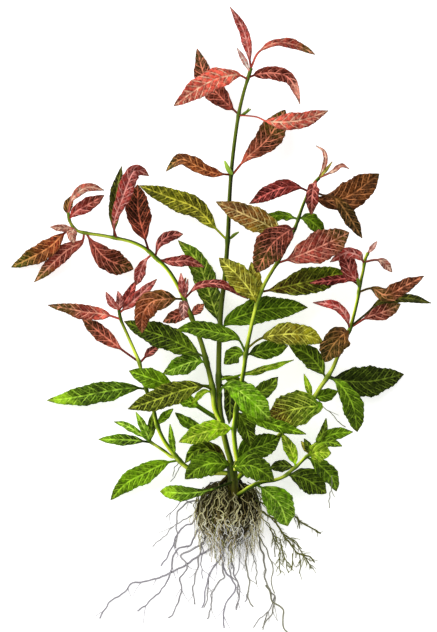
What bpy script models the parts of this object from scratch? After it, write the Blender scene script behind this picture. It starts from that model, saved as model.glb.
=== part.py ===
"""A bare-rooted rosanervig hygrophila, an aquarium stem plant, lifted out and laid down flat.

The plant lies on the plane z = 0 with its shoots running along +Y. The origin is on that plane, under
the root ball, whose underside is flattened where it lies. Each stem between two forks is one solid, and
so is each large leaf. The small leaves and buds are grown into the stem that bears them.
"""
import math

import bmesh
import bpy
from mathutils import Matrix, Vector

MM = 0.001
GAP = 0.45  # what a leaf's foot, or a stem's, keeps clear of the stem that bears it

LEAF_THICKNESS = 0.5
PETIOLE_HALF_WIDTH = 0.6
TIP_HALF_WIDTH = 0.3
BLADE_ROWS = 5  # rows of faces along the blade of a leaf that is a solid of its own
SMALL_BLADE_ROWS = 3  # and of one that is grown into its stem
WIDEST_SHARE = 0.45  # where along its blade a leaf is widest, unless it is named in WIDEST_SHARES
OUTLINE_POWER = 0.8  # under 1 makes the outline fuller

STEM_STEP = 11
STEM_SIDES = 6
ROOT_STEP = 12
ROOT_SIDES = 6

BALL_MIDDLE = (-1.5, -7, 9.5)
BALL_HALF_SIZE = (16.5, 17, 16)
BALL_RINGS = 8
BALL_SEGMENTS = 14
LUMP_DEPTH = 0.07
CROWN_RADIUS = (4.2, 2.4)
CROWN_ROUTE = [(0.5, -8, 16), (0.8, 0, 20), (0.5, 9, 20.5), (-0.2, 18, 19.5)]
CROWN_STEP = 4

# Colour, roughness of each kind of leaf and of the rest
FINISHES = {
    "rose": ((0.56, 0.13, 0.10), 0.45),
    "rose_olive": ((0.48, 0.12, 0.07), 0.45),
    "rose_russet": ((0.50, 0.12, 0.06), 0.45),
    "dusk_rose": ((0.42, 0.20, 0.17), 0.5),
    "crimson": ((0.25, 0.03, 0.02), 0.4),
    "crimson_dark": ((0.14, 0.02, 0.015), 0.4),
    "crimson_olive": ((0.18, 0.05, 0.015), 0.4),
    "russet": ((0.26, 0.10, 0.02), 0.4),
    "russet_dark": ((0.09, 0.04, 0.01), 0.4),
    "russet_olive": ((0.18, 0.10, 0.012), 0.4),
    "russet_green": ((0.15, 0.12, 0.015), 0.4),
    "olive": ((0.16, 0.18, 0.012), 0.4),
    "olive_rose": ((0.26, 0.20, 0.04), 0.45),
    "olive_dark": ((0.05, 0.06, 0.008), 0.4),
    "green": ((0.09, 0.22, 0.01), 0.4),
    "green_russet": ((0.14, 0.18, 0.012), 0.4),
    "bright_green": ((0.18, 0.36, 0.012), 0.45),
    "dark_green": ((0.03, 0.09, 0.006), 0.4),
    "stem": ((0.20, 0.32, 0.014), 0.4),
    "root": ((0.28, 0.25, 0.17), 0.8),
}

# Where each stem runs, from its foot to its tip: (foot radius, tip radius, route). All in millimetres.
STEMS = {
    "main_stem": (1.5, 0.8, [
        (-0.95, 20.5, 19), (-2.5, 26, 18), (-5, 37.5, 17), (-6.5, 52.5, 17), (-6.5, 75, 18),
        (-5.5, 95, 19), (-3.5, 112.5, 20), (-2, 132.5, 20), (-1, 155, 20), (0.5, 172.5, 19),
        (3, 191, 18), (5.5, 202.5, 17), (8, 211, 17), (9.5, 216, 17)]),
    "left_branch": (1.4, 0.7, [
        (-8.6, 46, 18), (-9.5, 54.5, 20), (-11, 62, 21), (-13, 70, 22), (-15, 77.5, 22),
        (-17.5, 84.5, 21), (-20.5, 92, 21), (-23.5, 99.5, 22), (-27, 107, 22), (-32, 115, 21),
        (-37.5, 120.5, 20), (-43, 125.5, 19), (-50, 129, 18), (-58, 131, 17), (-66, 132.5, 16),
        (-73, 133.5, 16), (-78, 135, 16), (-81, 139, 17), (-82, 143.8, 18)]),
    "side_branch": (1.3, 0.7, [
        (-3.8, 13.5, 18), (-10, 13.5, 15), (-17, 14, 12), (-23, 16.5, 12), (-28, 21.5, 13),
        (-34, 29.5, 14), (-37.5, 37.5, 14), (-39.5, 46, 14), (-42.5, 54, 15), (-45, 62.5, 16),
        (-46.5, 69, 17), (-49, 75, 18), (-52.5, 83, 19), (-55.5, 90, 20), (-56.5, 95, 21)]),
    "small_shoot": (0.9, 0.7, [
        (-30.7, 21.7, 13.5), (-34.3, 24.6, 14.5), (-41, 29, 15)]),
    "right_stem": (1.3, 0.7, [
        (2.6, 19, 23), (1.6, 26, 25), (1, 35, 26), (2.5, 47.5, 26), (4.5, 57.5, 26), (6, 66, 26),
        (7, 74, 26), (9, 84, 26), (11, 92.5, 25), (13, 100, 25), (16, 107.5, 25), (20, 114.5, 25),
        (23.5, 120, 25), (27, 126.5, 24), (30.5, 133.5, 24), (33, 140, 23), (35, 146, 23),
        (37.5, 152, 23), (40.5, 157.5, 24), (43.5, 161, 25)]),
    "right_branch": (1.4, 0.7, [
        (4.3, 12.4, 18.8), (8, 15.5, 15), (15, 22.5, 11), (26.5, 35, 10), (34, 43.5, 13),
        (40.5, 50.5, 16), (44, 56, 17), (47.5, 61, 17), (50.5, 66, 17), (53, 72, 17), (56, 79, 18),
        (59, 85.5, 18), (61, 92.5, 18), (63, 101, 18), (64, 107.5, 18), (65.5, 114, 19),
        (66.5, 120, 20), (68, 123.5, 20)]),
    "low_shoot": (1.1, 0.7, [
        (5.2, 4, 22.5), (9, 6.5, 22.5), (15, 9, 21), (21.5, 10, 20), (26.5, 12, 19), (30, 15, 19),
        (32.5, 17, 19), (36.5, 21, 20), (39.5, 23.5, 20), (42, 28.5, 20)]),
}

# One row a leaf: name, what it grows from, grown into that solid or not, finish, blade width, the petiole's
# share of the length, the turn about its own line at foot and tip in degrees, the fold of its halves in
# degrees, and its midrib from the stem's axis to the tip in millimetres.
LEAVES = [
    ("main_leaf_01", "main_stem", True, "rose", 5.5, 0.12, 10, 20, 20,
     [(9.5, 216, 17), (7.5, 229, 20), (4.5, 237.5, 21), (-1, 246.5, 22)]),
    ("main_leaf_02", "main_stem", True, "rose", 3, 0.1, 0, 0, 20,
     [(9, 214, 17), (6, 220, 19), (2.5, 226, 20)]),
    ("main_leaf_03", "main_stem", True, "rose_olive", 6, 0.22, 35, 25, 20,
     [(9.5, 216, 17), (13.5, 224, 19), (22.5, 228.5, 21), (33, 227, 19), (41.5, 223, 15)]),
    ("main_leaf_04", "main_stem", False, "rose", 11.5, 0.12, -10, -10, 12,
     [(8, 210.5, 17), (2, 212.5, 22), (-8.5, 210, 27), (-18.5, 204.5, 27), (-29, 197, 22)]),
    ("main_leaf_05", "main_stem", True, "crimson", 7.5, 0.08, 0, -40, 16,
     [(8.5, 211.5, 17), (13, 213, 18.5), (20, 213.6, 20), (27, 212, 21), (31.5, 206.5, 21),
      (34, 198, 18)]),
    ("main_leaf_06", "main_stem", False, "crimson_olive", 11.5, 0.09, 15, 10, 18,
     [(3.2, 193, 18), (-5, 201, 13), (-13.5, 212, 8), (-17.5, 226.5, 0.6)]),
    ("main_leaf_07", "main_stem", False, "rose", 9, 0.33, 0, 10, 15,
     [(3.2, 192.5, 18), (12, 191.5, 22), (19, 189, 25), (34, 189.5, 27), (48, 194.5, 24)]),
    ("main_leaf_08", "main_stem", False, "crimson_olive", 13.5, 0.14, 5, 5, 14,
     [(0.5, 163, 19.5), (7.2, 171, 16), (18, 181, 12), (26.7, 195.5, 8)]),
    ("main_leaf_09", "main_stem", False, "russet_olive", 8, 0.1, -20, -30, 18,
     [(-0.3, 162.5, 19.5), (-9.5, 163.5, 24), (-17, 166.5, 27), (-24, 170, 26), (-29, 168.5, 21),
      (-33, 164.5, 15)]),
    ("main_leaf_10", "main_stem", False, "olive", 11.3, 0.16, 5, 10, 14,
     [(-2, 129.5, 20), (-9, 136.7, 18), (-18, 146, 16), (-32, 151.7, 13), (-46.5, 157.5, 8)]),
    ("main_leaf_11", "main_stem", False, "green", 12, 0.08, 0, 0, 16,
     [(-6, 87, 18.5), (-9.5, 97.5, 13), (-13.5, 110, 10), (-18.5, 121, 8), (-27, 130, 5)]),
    ("main_leaf_12", "main_stem", False, "green", 13.5, 0.07, 5, 10, 14,
     [(-6, 84.5, 18.5), (0, 90.3, 17), (15, 95, 15), (28, 96.3, 12), (38, 96.3, 8)]),
    ("right_leaf_01", "right_stem", True, "rose_olive", 2.6, 0.1, 0, 40, 20,
     [(43.5, 161, 25), (46.5, 168.5, 27), (46, 174, 27), (42, 177, 25)]),
    ("right_leaf_02", "right_stem", True, "green", 1.8, 0.1, 0, 0, 20,
     [(43.5, 161, 25), (47, 165, 27), (50, 169, 28)]),
    ("right_leaf_03", "right_stem", True, "rose", 3, 0.3, 10, 40, 20,
     [(43.5, 161, 25), (50.5, 164.2, 27), (54.5, 167, 27), (58.5, 165.5, 25)]),
    ("right_leaf_04", "right_stem", False, "crimson", 9, 0.15, -10, -15, 18,
     [(38.8, 154, 23.5), (31.5, 156.5, 26), (22, 155, 25), (8.7, 148.2, 20)]),
    ("right_leaf_05", "right_stem", True, "rose", 7, 0.05, 5, 5, 18,
     [(42, 159.5, 24.5), (40.5, 155.5, 30), (39.8, 150, 32), (39.5, 142.5, 29)]),
    ("right_leaf_06", "right_stem", False, "russet", 15, 0.08, 0, 10, 14,
     [(38.5, 153, 23.5), (46.8, 149.6, 24.5), (58.5, 152, 26), (73.5, 163, 24)]),
    ("right_leaf_07", "right_stem", False, "russet_dark", 7.5, 0.34, 0, 0, 18,
     [(39.5, 155, 23.8), (44.5, 152.5, 29.5), (51.5, 150.5, 32.5), (57.5, 142.8, 29.5), (65, 131, 21)]),
    ("right_leaf_08", "right_stem", True, "green", 6.5, 0.1, 40, 40, 16,
     [(33, 140.5, 23), (25, 142.5, 17), (12.5, 140.5, 14)]),
    ("right_leaf_09", "right_stem", True, "green", 8, 0.1, 10, 10, 16,
     [(33.2, 141, 23), (39, 140, 17), (47, 133, 12)]),
    ("right_leaf_10", "right_stem", False, "crimson_olive", 16, 0.12, 0, 0, 16,
     [(31.5, 136, 23.5), (27.5, 134, 31), (19.3, 127, 35.5), (12, 113.7, 31.5)]),
    ("right_leaf_11", "right_stem", False, "rose_russet", 16, 0.12, 0, 5, 14,
     [(23, 118.5, 24.5), (33, 122, 30), (46, 127.5, 31), (58.5, 133.7, 26)]),
    ("right_leaf_12", "right_stem", False, "russet", 12.5, 0.1, 5, 0, 15,
     [(28, 128.5, 24), (18, 137, 22.5), (6.5, 142.5, 25), (-8, 149, 26)]),
    ("right_leaf_13", "right_stem", False, "olive_rose", 12.5, 0.08, 0, 0, 18,
     [(12.5, 98, 25), (8, 106, 29), (1.3, 113.7, 28), (-6.5, 121, 26)]),
    ("right_leaf_14", "right_stem", True, "olive_rose", 8, 0.08, -15, -15, 18,
     [(13, 99.5, 25), (11.5, 108, 25.5), (9.6, 119, 25)]),
    ("right_leaf_15", "right_stem", False, "green_russet", 14, 0.08, 0, 10, 14,
     [(14.5, 104, 25), (24, 106, 21), (39, 109.5, 17), (57, 114, 13)]),
    ("right_leaf_16", "right_stem", False, "olive", 12, 0.22, 10, 15, 14,
     [(7.2, 75.5, 26), (15, 81, 27), (28, 83, 25), (38, 82, 21), (46, 78.5, 16)]),
    ("right_leaf_17", "right_stem", False, "green", 9.5, 0.18, 20, 5, 16,
     [(6.9, 73.5, 26), (2.5, 81, 29), (-8.5, 84, 27.5), (-18.5, 86, 25.5), (-28, 85, 22)]),
    ("right_leaf_18", "right_stem", True, "dark_green", 9, 0.1, 0, 0, 18,
     [(6.8, 73, 26), (2, 73, 22.5), (-4, 68, 20.5)]),
    ("right_leaf_19", "right_stem", False, "dark_green", 9.5, 0.1, 5, 5, 16,
     [(6.8, 72.5, 26), (15, 74.5, 22), (21.5, 75.5, 20), (28, 77, 17.5)]),
    ("right_leaf_20", "right_stem", True, "dark_green", 8.5, 0.2, -5, 0, 18,
     [(4.2, 55, 26), (12, 53.5, 24), (18, 56.5, 22.5), (23, 61.5, 20)]),
    ("right_leaf_21", "right_stem", False, "bright_green", 10.5, 0.06, -5, 0, 16,
     [(1, 36, 26), (-8.5, 35.5, 31), (-17, 33, 29), (-26.5, 29, 23)]),
    ("right_leaf_22", "right_stem", True, "dark_green", 10, 0.08, 10, 10, 20,
     [(2, 45, 26), (6.5, 37.5, 23.5), (9.5, 27, 20.5)]),
    ("right_leaf_23", "right_stem", False, "green", 7, 0.08, 15, 10, 16,
     [(2.3, 46, 26), (13, 40.5, 29), (25, 36.5, 28.2), (37, 33, 23)]),
    ("mid_leaf_01", "main_stem", False, "bright_green", 13.2, 0.2, 0, 5, 14,
     [(-6.2, 53, 17.2), (-4.3, 56.5, 25.5), (1.5, 56, 30), (10, 49.5, 34), (19.3, 40, 30)]),
    ("mid_leaf_02", "main_stem", True, "dark_green", 6.5, 0.1, 0, 0, 14,
     [(-6.5, 58.5, 17.2), (-1.6, 54.3, 19), (-1, 46, 20.6), (-1.5, 38, 20.5)]),
    ("mid_leaf_03", "main_stem", True, "green", 5, 0.25, -45, -40, 18,
     [(-6.5, 60, 17.2), (2, 62, 21), (12, 64.5, 20.5), (31, 70, 14)]),
    ("branch_leaf_01", "left_branch", False, "olive", 12, 0.16, 10, 0, 14,
     [(-9.6, 55, 20), (-15, 57, 26), (-26, 54.7, 27), (-38.5, 50, 24), (-52, 45.5, 17)]),
    ("branch_leaf_02", "left_branch", False, "green", 10.5, 0.45, 0, 0, 16,
     [(-10.2, 57, 20.4), (-19, 57.5, 20), (-31, 57.5, 18.5), (-41, 61, 20), (-51.5, 64.5, 18)]),
    ("branch_leaf_03", "left_branch", True, "bright_green", 3.5, 0.15, 0, 0, 16,
     [(-9.5, 54, 20), (-14.5, 54, 21), (-20, 48, 19)]),
    ("branch_leaf_04", "left_branch", False, "green", 10.5, 0.12, 0, 0, 16,
     [(-12.6, 68.5, 21.8), (-18, 69.5, 17), (-26, 67, 14), (-34.5, 63, 12)]),
    ("branch_leaf_05", "left_branch", False, "dark_green", 13, 0.1, 5, 0, 14,
     [(-13.2, 71, 22), (-18.5, 74, 20), (-31, 80.5, 18), (-43.5, 85, 15.5), (-54, 89.3, 12.5)]),
    ("branch_leaf_06", "left_branch", True, "crimson", 7, 0.1, 0, 0, 18,
     [(-20.3, 91.5, 21), (-26, 92.5, 22), (-34.5, 89, 20)]),
    ("branch_leaf_07", "left_branch", True, "crimson", 5, 0.1, 0, 0, 18,
     [(-20.5, 92, 21), (-17.5, 95, 20), (-14, 98, 18)]),
    ("branch_leaf_08", "left_branch", True, "rose_russet", 5, 0.12, 30, 25, 18,
     [(-23.8, 100.5, 22), (-16.5, 107, 26), (-5, 107.5, 26), (8, 100.5, 22.5)]),
    ("branch_leaf_09", "left_branch", False, "russet_olive", 12, 0.14, 0, 0, 20,
     [(-24, 100.5, 22), (-32, 100.5, 27), (-40, 99, 29), (-44.5, 92.5, 27), (-45, 83.5, 23)]),
    ("branch_leaf_10", "left_branch", True, "rose", 4, 0.08, 0, 0, 20,
     [(-24.2, 101, 22), (-25, 106.5, 26), (-25.5, 113.5, 27)]),
    ("branch_leaf_11", "left_branch", True, "rose", 2.6, 0.08, 0, 0, 20,
     [(-24, 100.5, 22), (-23, 105.5, 26), (-22, 110.5, 28)]),
    ("branch_leaf_12", "left_branch", True, "dusk_rose", 5.5, 0.08, 0, 0, 24,
     [(-23.7, 100, 22), (-24.2, 96.5, 27), (-24, 90, 27)]),
    ("branch_leaf_13", "left_branch", True, "rose_russet", 6, 0.08, 0, 0, 18,
     [(-37, 120, 20), (-29.5, 119.3, 20.5), (-22, 119.5, 19), (-14, 116.5, 16)]),
    ("branch_leaf_14", "left_branch", True, "crimson", 6, 0.12, -10, 10, 18,
     [(-38.5, 121.5, 20), (-36.3, 128, 22), (-31.5, 131.7, 22), (-24.5, 133, 19)]),
    ("branch_leaf_15", "left_branch", True, "rose_russet", 6, 0.15, 0, 0, 18,
     [(-40, 123, 19.6), (-44.5, 118, 17.5), (-48, 107.5, 13)]),
    ("branch_leaf_16", "left_branch", False, "crimson_dark", 13, 0.18, 0, 0, 18,
     [(-41.5, 124.3, 19.4), (-43.7, 131.5, 21.5), (-46.8, 144, 23), (-47.2, 157.7, 21)]),
    ("branch_leaf_17", "left_branch", False, "rose", 8.5, 0.1, 15, -20, 18,
     [(-57.8, 131, 17), (-59, 138.5, 24), (-54.5, 151, 30), (-50, 162.5, 30), (-46.5, 164.5, 27),
      (-41.5, 162, 22)]),
    ("branch_leaf_18", "left_branch", False, "olive_dark", 7, 0.1, 0, 0, 18,
     [(-59, 131.3, 16.9), (-58.8, 142.5, 17), (-57.6, 155.5, 15), (-55.3, 167, 12)]),
    ("branch_leaf_19", "left_branch", False, "crimson_olive", 12.5, 0.06, 5, 5, 16,
     [(-73, 133.5, 16), (-69.5, 128, 16.5), (-62.5, 120.5, 13), (-49.5, 115.5, 6)]),
    ("branch_leaf_20", "left_branch", False, "rose_olive", 8, 0.1, 0, 0, 16,
     [(-74, 133.7, 16), (-75.5, 129, 13), (-84, 124, 9), (-99.5, 109, 2)]),
    ("branch_leaf_21", "left_branch", False, "rose_olive", 9.8, 0.14, 0, 0, 16,
     [(-79.5, 136.5, 16.4), (-84.5, 133, 15), (-93.5, 125.3, 9), (-111, 116.5, 0.6)]),
    ("branch_leaf_22", "left_branch", True, "rose", 4, 0.1, 5, 5, 18,
     [(-79.5, 136, 16.4), (-84.5, 136, 18.8), (-91, 136.5, 18)]),
    ("branch_leaf_23", "left_branch", True, "rose", 5.5, 0.1, 0, 0, 18,
     [(-79, 136, 16.3), (-80, 132.5, 21), (-79, 128.5, 20)]),
    ("branch_leaf_24", "left_branch", True, "rose", 5, 0.22, 5, 5, 18,
     [(-82, 143.5, 18), (-79.5, 151, 21), (-72.5, 156.3, 21), (-64, 155, 17)]),
    ("branch_leaf_25", "left_branch", True, "rose_russet", 7.5, 0.08, 0, 0, 18,
     [(-81.6, 140.5, 17.4), (-78.2, 144, 20), (-72, 147.8, 19.5), (-64, 152.4, 15)]),
    ("branch_leaf_26", "left_branch", True, "russet_dark", 5, 0.1, 0, 0, 18,
     [(-81.8, 142, 17.8), (-82.2, 147, 15.5), (-79.8, 152.5, 14.5)]),
    ("side_leaf_01", "side_branch", False, "rose_olive", 8.2, 0.14, 10, 20, 18,
     [(-55.8, 90.5, 20.3), (-63, 92.7, 19), (-73, 94, 16), (-82, 95.7, 12), (-92.5, 97.5, 7)]),
    ("side_leaf_02", "side_branch", False, "crimson_olive", 8.3, 0.3, 0, 0, 18,
     [(-46.5, 69, 17), (-55, 75, 14), (-64.7, 82.5, 11), (-75.5, 91.3, 7)]),
    ("side_leaf_03", "side_branch", True, "rose", 4.2, 0.08, 0, 0, 20,
     [(-56.5, 95, 21), (-60, 98.5, 23), (-63, 104, 23)]),
    ("side_leaf_04", "side_branch", True, "rose", 4.2, 0.08, 0, 0, 20,
     [(-56.5, 95, 21), (-56, 100, 24), (-57, 104.5, 25)]),
    ("side_leaf_05", "side_branch", True, "rose", 6, 0.08, 0, 0, 20,
     [(-56.2, 93.6, 20.7), (-47, 101.5, 22), (-37.5, 110.5, 22)]),
    ("side_leaf_06", "side_branch", True, "rose", 5.5, 0.08, 0, 0, 20,
     [(-56.5, 95, 21), (-52, 101.5, 20), (-48.2, 109.5, 18.5)]),
    ("side_leaf_07", "side_branch", True, "rose_russet", 4.5, 0.3, 0, 0, 18,
     [(-46.3, 68.3, 16.8), (-41.5, 73.5, 13), (-36, 77.5, 11.5)]),
    ("side_leaf_08", "side_branch", False, "green", 11, 0.07, 20, -8, 14,
     [(-43, 55.5, 15.2), (-51, 56, 13.5), (-66, 53.7, 9), (-80, 51, 5), (-93, 49.5, 1)]),
    ("side_leaf_09", "side_branch", True, "dark_green", 4.5, 0.1, 0, 0, 18,
     [(-37.5, 37, 14), (-34.5, 41, 13.5), (-29.5, 45.5, 12)]),
    ("side_leaf_10", "side_branch", True, "green", 3.5, 0.1, 0, 0, 18,
     [(-28.5, 22, 13), (-30, 29, 18), (-31, 38, 20)]),
    ("side_leaf_11", "side_branch", False, "green", 10.7, 0.12, 5, 0, 14,
     [(-26.5, 19.7, 12.6), (-34.3, 18, 11), (-43, 13.5, 8), (-53, 8, 5), (-61, -0.5, 1.2)]),
    ("shoot_leaf_01", "small_shoot", True, "bright_green", 6, 0.14, 0, 0, 16,
     [(-40.5, 28.7, 15), (-48.5, 29.7, 13), (-57, 30, 10), (-67, 30, 5)]),
    ("shoot_leaf_02", "small_shoot", True, "bright_green", 4, 0.2, 20, 10, 16,
     [(-41, 29, 15), (-47.5, 34, 18), (-53.5, 37.5, 17), (-59, 39, 14)]),
    ("shoot_leaf_03", "small_shoot", True, "bright_green", 4.6, 0.08, 0, 0, 18,
     [(-41, 29, 15), (-44, 36, 20), (-48, 44, 22)]),
    ("shoot_leaf_04", "small_shoot", True, "dark_green", 4.6, 0.08, 0, 0, 18,
     [(-41, 29, 15), (-40.5, 36, 10.5), (-39.8, 43.5, 8.5)]),
    ("left_leaf_01", "main_stem", True, "dark_green", 7, 0.5, 0, 0, 16,
     [(-5.3, 39.5, 17), (-12, 43.5, 15), (-20, 48.5, 14), (-29.5, 52.5, 12)]),
    ("left_leaf_02", "main_stem", True, "dark_green", 6, 0.4, 0, 0, 16,
     [(-5, 37.5, 17), (-13, 35.7, 13), (-21.5, 38, 11), (-28.5, 43.5, 9)]),
    ("top_right_leaf_01", "right_branch", True, "dusk_rose", 2.8, 0.1, 0, 0, 22,
     [(68, 123.5, 20), (70, 126, 21.5), (72.5, 129.3, 22)]),
    ("top_right_leaf_02", "right_branch", True, "rose", 4.6, 0.4, 0, 0, 18,
     [(66.3, 119, 19.9), (71.5, 120, 22), (75.5, 119, 21.5), (80, 114, 19)]),
    ("top_right_leaf_03", "right_branch", True, "crimson", 6, 0.12, 0, 0, 18,
     [(66.2, 118.5, 19.8), (62.5, 122.5, 25), (56.5, 123.3, 26), (49, 119, 24)]),
    ("top_right_leaf_04", "right_branch", False, "crimson", 9, 0.12, 0, 0, 20,
     [(64.2, 108.5, 18.3), (60, 112.5, 22), (57.3, 119, 21), (54, 125.5, 20)]),
    ("top_right_leaf_05", "right_branch", True, "crimson", 5, 0.15, 10, 10, 18,
     [(64, 107, 18), (58.5, 110.5, 19.5), (50.5, 110, 19.5), (39, 108.5, 20.5)]),
    ("top_right_leaf_06", "right_branch", False, "russet_olive", 8.5, 0.18, 0, 15, 20,
     [(63.5, 104, 18), (70, 105.8, 22), (77, 102.5, 24), (86.5, 107, 22), (96, 112, 17)]),
    ("top_right_leaf_07", "right_branch", True, "olive_dark", 6, 0.3, 20, 30, 18,
     [(59.5, 86.8, 18), (67, 93, 21.5), (75, 99.5, 20), (87, 101, 16), (100, 98.5, 8)]),
    ("top_right_leaf_08", "right_branch", False, "crimson", 8.5, 0.28, 0, 0, 18,
     [(59.3, 86.2, 18), (68, 91.5, 14.5), (76.5, 94.3, 13), (84.5, 98, 12)]),
    ("top_right_leaf_09", "right_branch", True, "rose", 5.2, 0.1, -20, -10, 18,
     [(58.8, 85.8, 18), (56.5, 92.5, 23), (51, 97.3, 24), (40.5, 98.7, 20)]),
    ("top_right_leaf_10", "right_branch", False, "russet_dark", 13.7, 0.08, 0, 0, 24,
     [(58.6, 84.7, 18), (54, 81.5, 25), (49.5, 76, 25), (46.3, 69, 20)]),
    ("right_low_leaf_01", "right_branch", False, "dark_green", 10.5, 0.1, 10, 0, 16,
     [(47.3, 60.7, 17), (43, 67.5, 14), (37.5, 73, 12), (28.5, 77.5, 10)]),
    ("right_low_leaf_02", "right_branch", False, "dark_green", 16, 0.1, 0, 0, 14,
     [(48.2, 62, 17), (56.5, 59.5, 9.5), (70, 59.3, 6), (86.5, 62.7, 0.6)]),
    ("right_low_leaf_03", "right_branch", False, "green", 11, 0.1, 0, 0, 16,
     [(47.8, 61.5, 17), (53.8, 58, 22), (60.3, 47.5, 21), (62.8, 34, 13)]),
    ("right_low_leaf_04", "right_branch", True, "dark_green", 7, 0.1, 0, 0, 16,
     [(40.8, 50.8, 16), (47, 52.3, 14), (53, 54.3, 12.5)]),
    ("right_low_leaf_05", "right_branch", True, "green", 3.5, 0.1, 0, 0, 18,
     [(40, 50, 15.8), (38.3, 56, 19), (36, 63, 22)]),
    ("right_low_leaf_06", "right_branch", False, "russet_green", 18.5, 0.12, 0, 10, 14,
     [(41, 51, 16), (42.8, 47.3, 21), (36, 46.5, 23.3), (27.5, 44.5, 22.6), (18, 41, 18.5)]),
    ("low_leaf_01", "low_shoot", True, "dark_green", 6.5, 0.1, 0, 0, 16,
     [(31.5, 16.2, 19), (25.5, 17, 15.5), (19, 16, 13)]),
    ("low_leaf_02", "low_shoot", False, "dark_green", 12.5, 0.06, 0, 0, 14,
     [(27.5, 12.7, 19), (36.5, 10.5, 12), (47.5, 3, 5)]),
    ("low_leaf_03", "low_shoot", False, "green", 9, 0.08, 0, 10, 16,
     [(37.3, 21.6, 20), (43, 18, 17), (50, 11, 11), (52.5, 4, 5)]),
    ("low_leaf_04", "low_shoot", True, "bright_green", 10.5, 0.1, 0, 0, 16,
     [(38, 22.2, 20), (43.5, 24, 25), (49.5, 23.5, 24)]),
    ("low_leaf_05", "low_shoot", True, "dark_green", 4, 0.08, 0, 0, 16,
     [(39, 23, 20), (38, 27, 23.5), (36, 30.8, 24)]),
    ("low_leaf_06", "low_shoot", True, "bright_green", 6.5, 0.1, 10, 0, 16,
     [(32, 16.6, 19), (29.8, 24, 22), (24.8, 33.5, 22)]),
    ("low_leaf_07", "low_shoot", True, "green", 6.5, 0.08, 0, 0, 16,
     [(42, 28.2, 20), (50, 32.8, 20), (60.5, 34, 16)]),
    ("low_leaf_08", "low_shoot", True, "green", 5, 0.08, 0, 0, 16,
     [(42, 28.5, 20), (49, 29, 24), (55, 27, 23)]),
    ("low_leaf_09", "low_shoot", True, "dark_green", 4, 0.08, 0, 0, 16,
     [(42, 28.5, 20), (45.5, 34, 24.5), (47, 41, 25)]),
    ("low_leaf_10", "low_shoot", False, "green", 15, 0.1, 0, 0, 16,
     [(12, 8, 21.7), (17, 4.5, 22), (24, -2.5, 16), (28, -13.5, 6)]),
    ("crown_leaf_01", "root_ball", False, "green", 12.5, 0.06, 0, 0, 14,
     [(-0.5, 17.5, 20), (-10, 18.5, 26.5), (-17, 16, 25), (-23.5, 10.5, 20)]),
    ("crown_leaf_02", "root_ball", True, "russet_dark", 9, 0.12, 10, 10, 18,
     [(-0.5, 17.5, 19.5), (-9.5, 24.5, 20), (-17.5, 25, 19), (-23.5, 18.5, 17)]),
    ("crown_leaf_03", "root_ball", False, "green", 13, 0.08, 0, 0, 14,
     [(-0.5, 16.5, 21), (9, 17.5, 28), (15, 14.5, 28), (21, 10, 25)]),
    ("crown_leaf_04", "root_ball", True, "dark_green", 13.5, 0.16, 0, 0, 14,
     [(-0.3, 17.5, 20), (8, 24.5, 18.5), (16, 27.5, 18), (24.5, 31.5, 16)]),
    ("crown_leaf_05", "root_ball", False, "bright_green", 8.5, 0.2, 10, 10, 16,
     [(-0.2, 9, 23), (-10, 5.5, 26), (-22, 3.5, 20), (-36, 4, 10)]),
]

# Leaves that are widest elsewhere: nearer to the tip than common, or to the foot.
WIDEST_SHARES = {
    "main_leaf_03": 0.54, "main_leaf_05": 0.36, "main_leaf_06": 0.4, "main_leaf_08": 0.6,
    "right_leaf_05": 0.5, "right_leaf_06": 0.56, "right_leaf_10": 0.5, "right_leaf_11": 0.55,
    "right_leaf_15": 0.56, "mid_leaf_01": 0.55, "branch_leaf_14": 0.55, "branch_leaf_15": 0.55,
    "branch_leaf_16": 0.5, "branch_leaf_17": 0.6, "branch_leaf_19": 0.58, "side_leaf_01": 0.36,
    "side_leaf_02": 0.5, "top_right_leaf_08": 0.55, "right_low_leaf_03": 0.55, "right_low_leaf_06": 0.5,
    "low_leaf_01": 0.5, "low_leaf_02": 0.5, "crown_leaf_05": 0.66,
}

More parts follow.
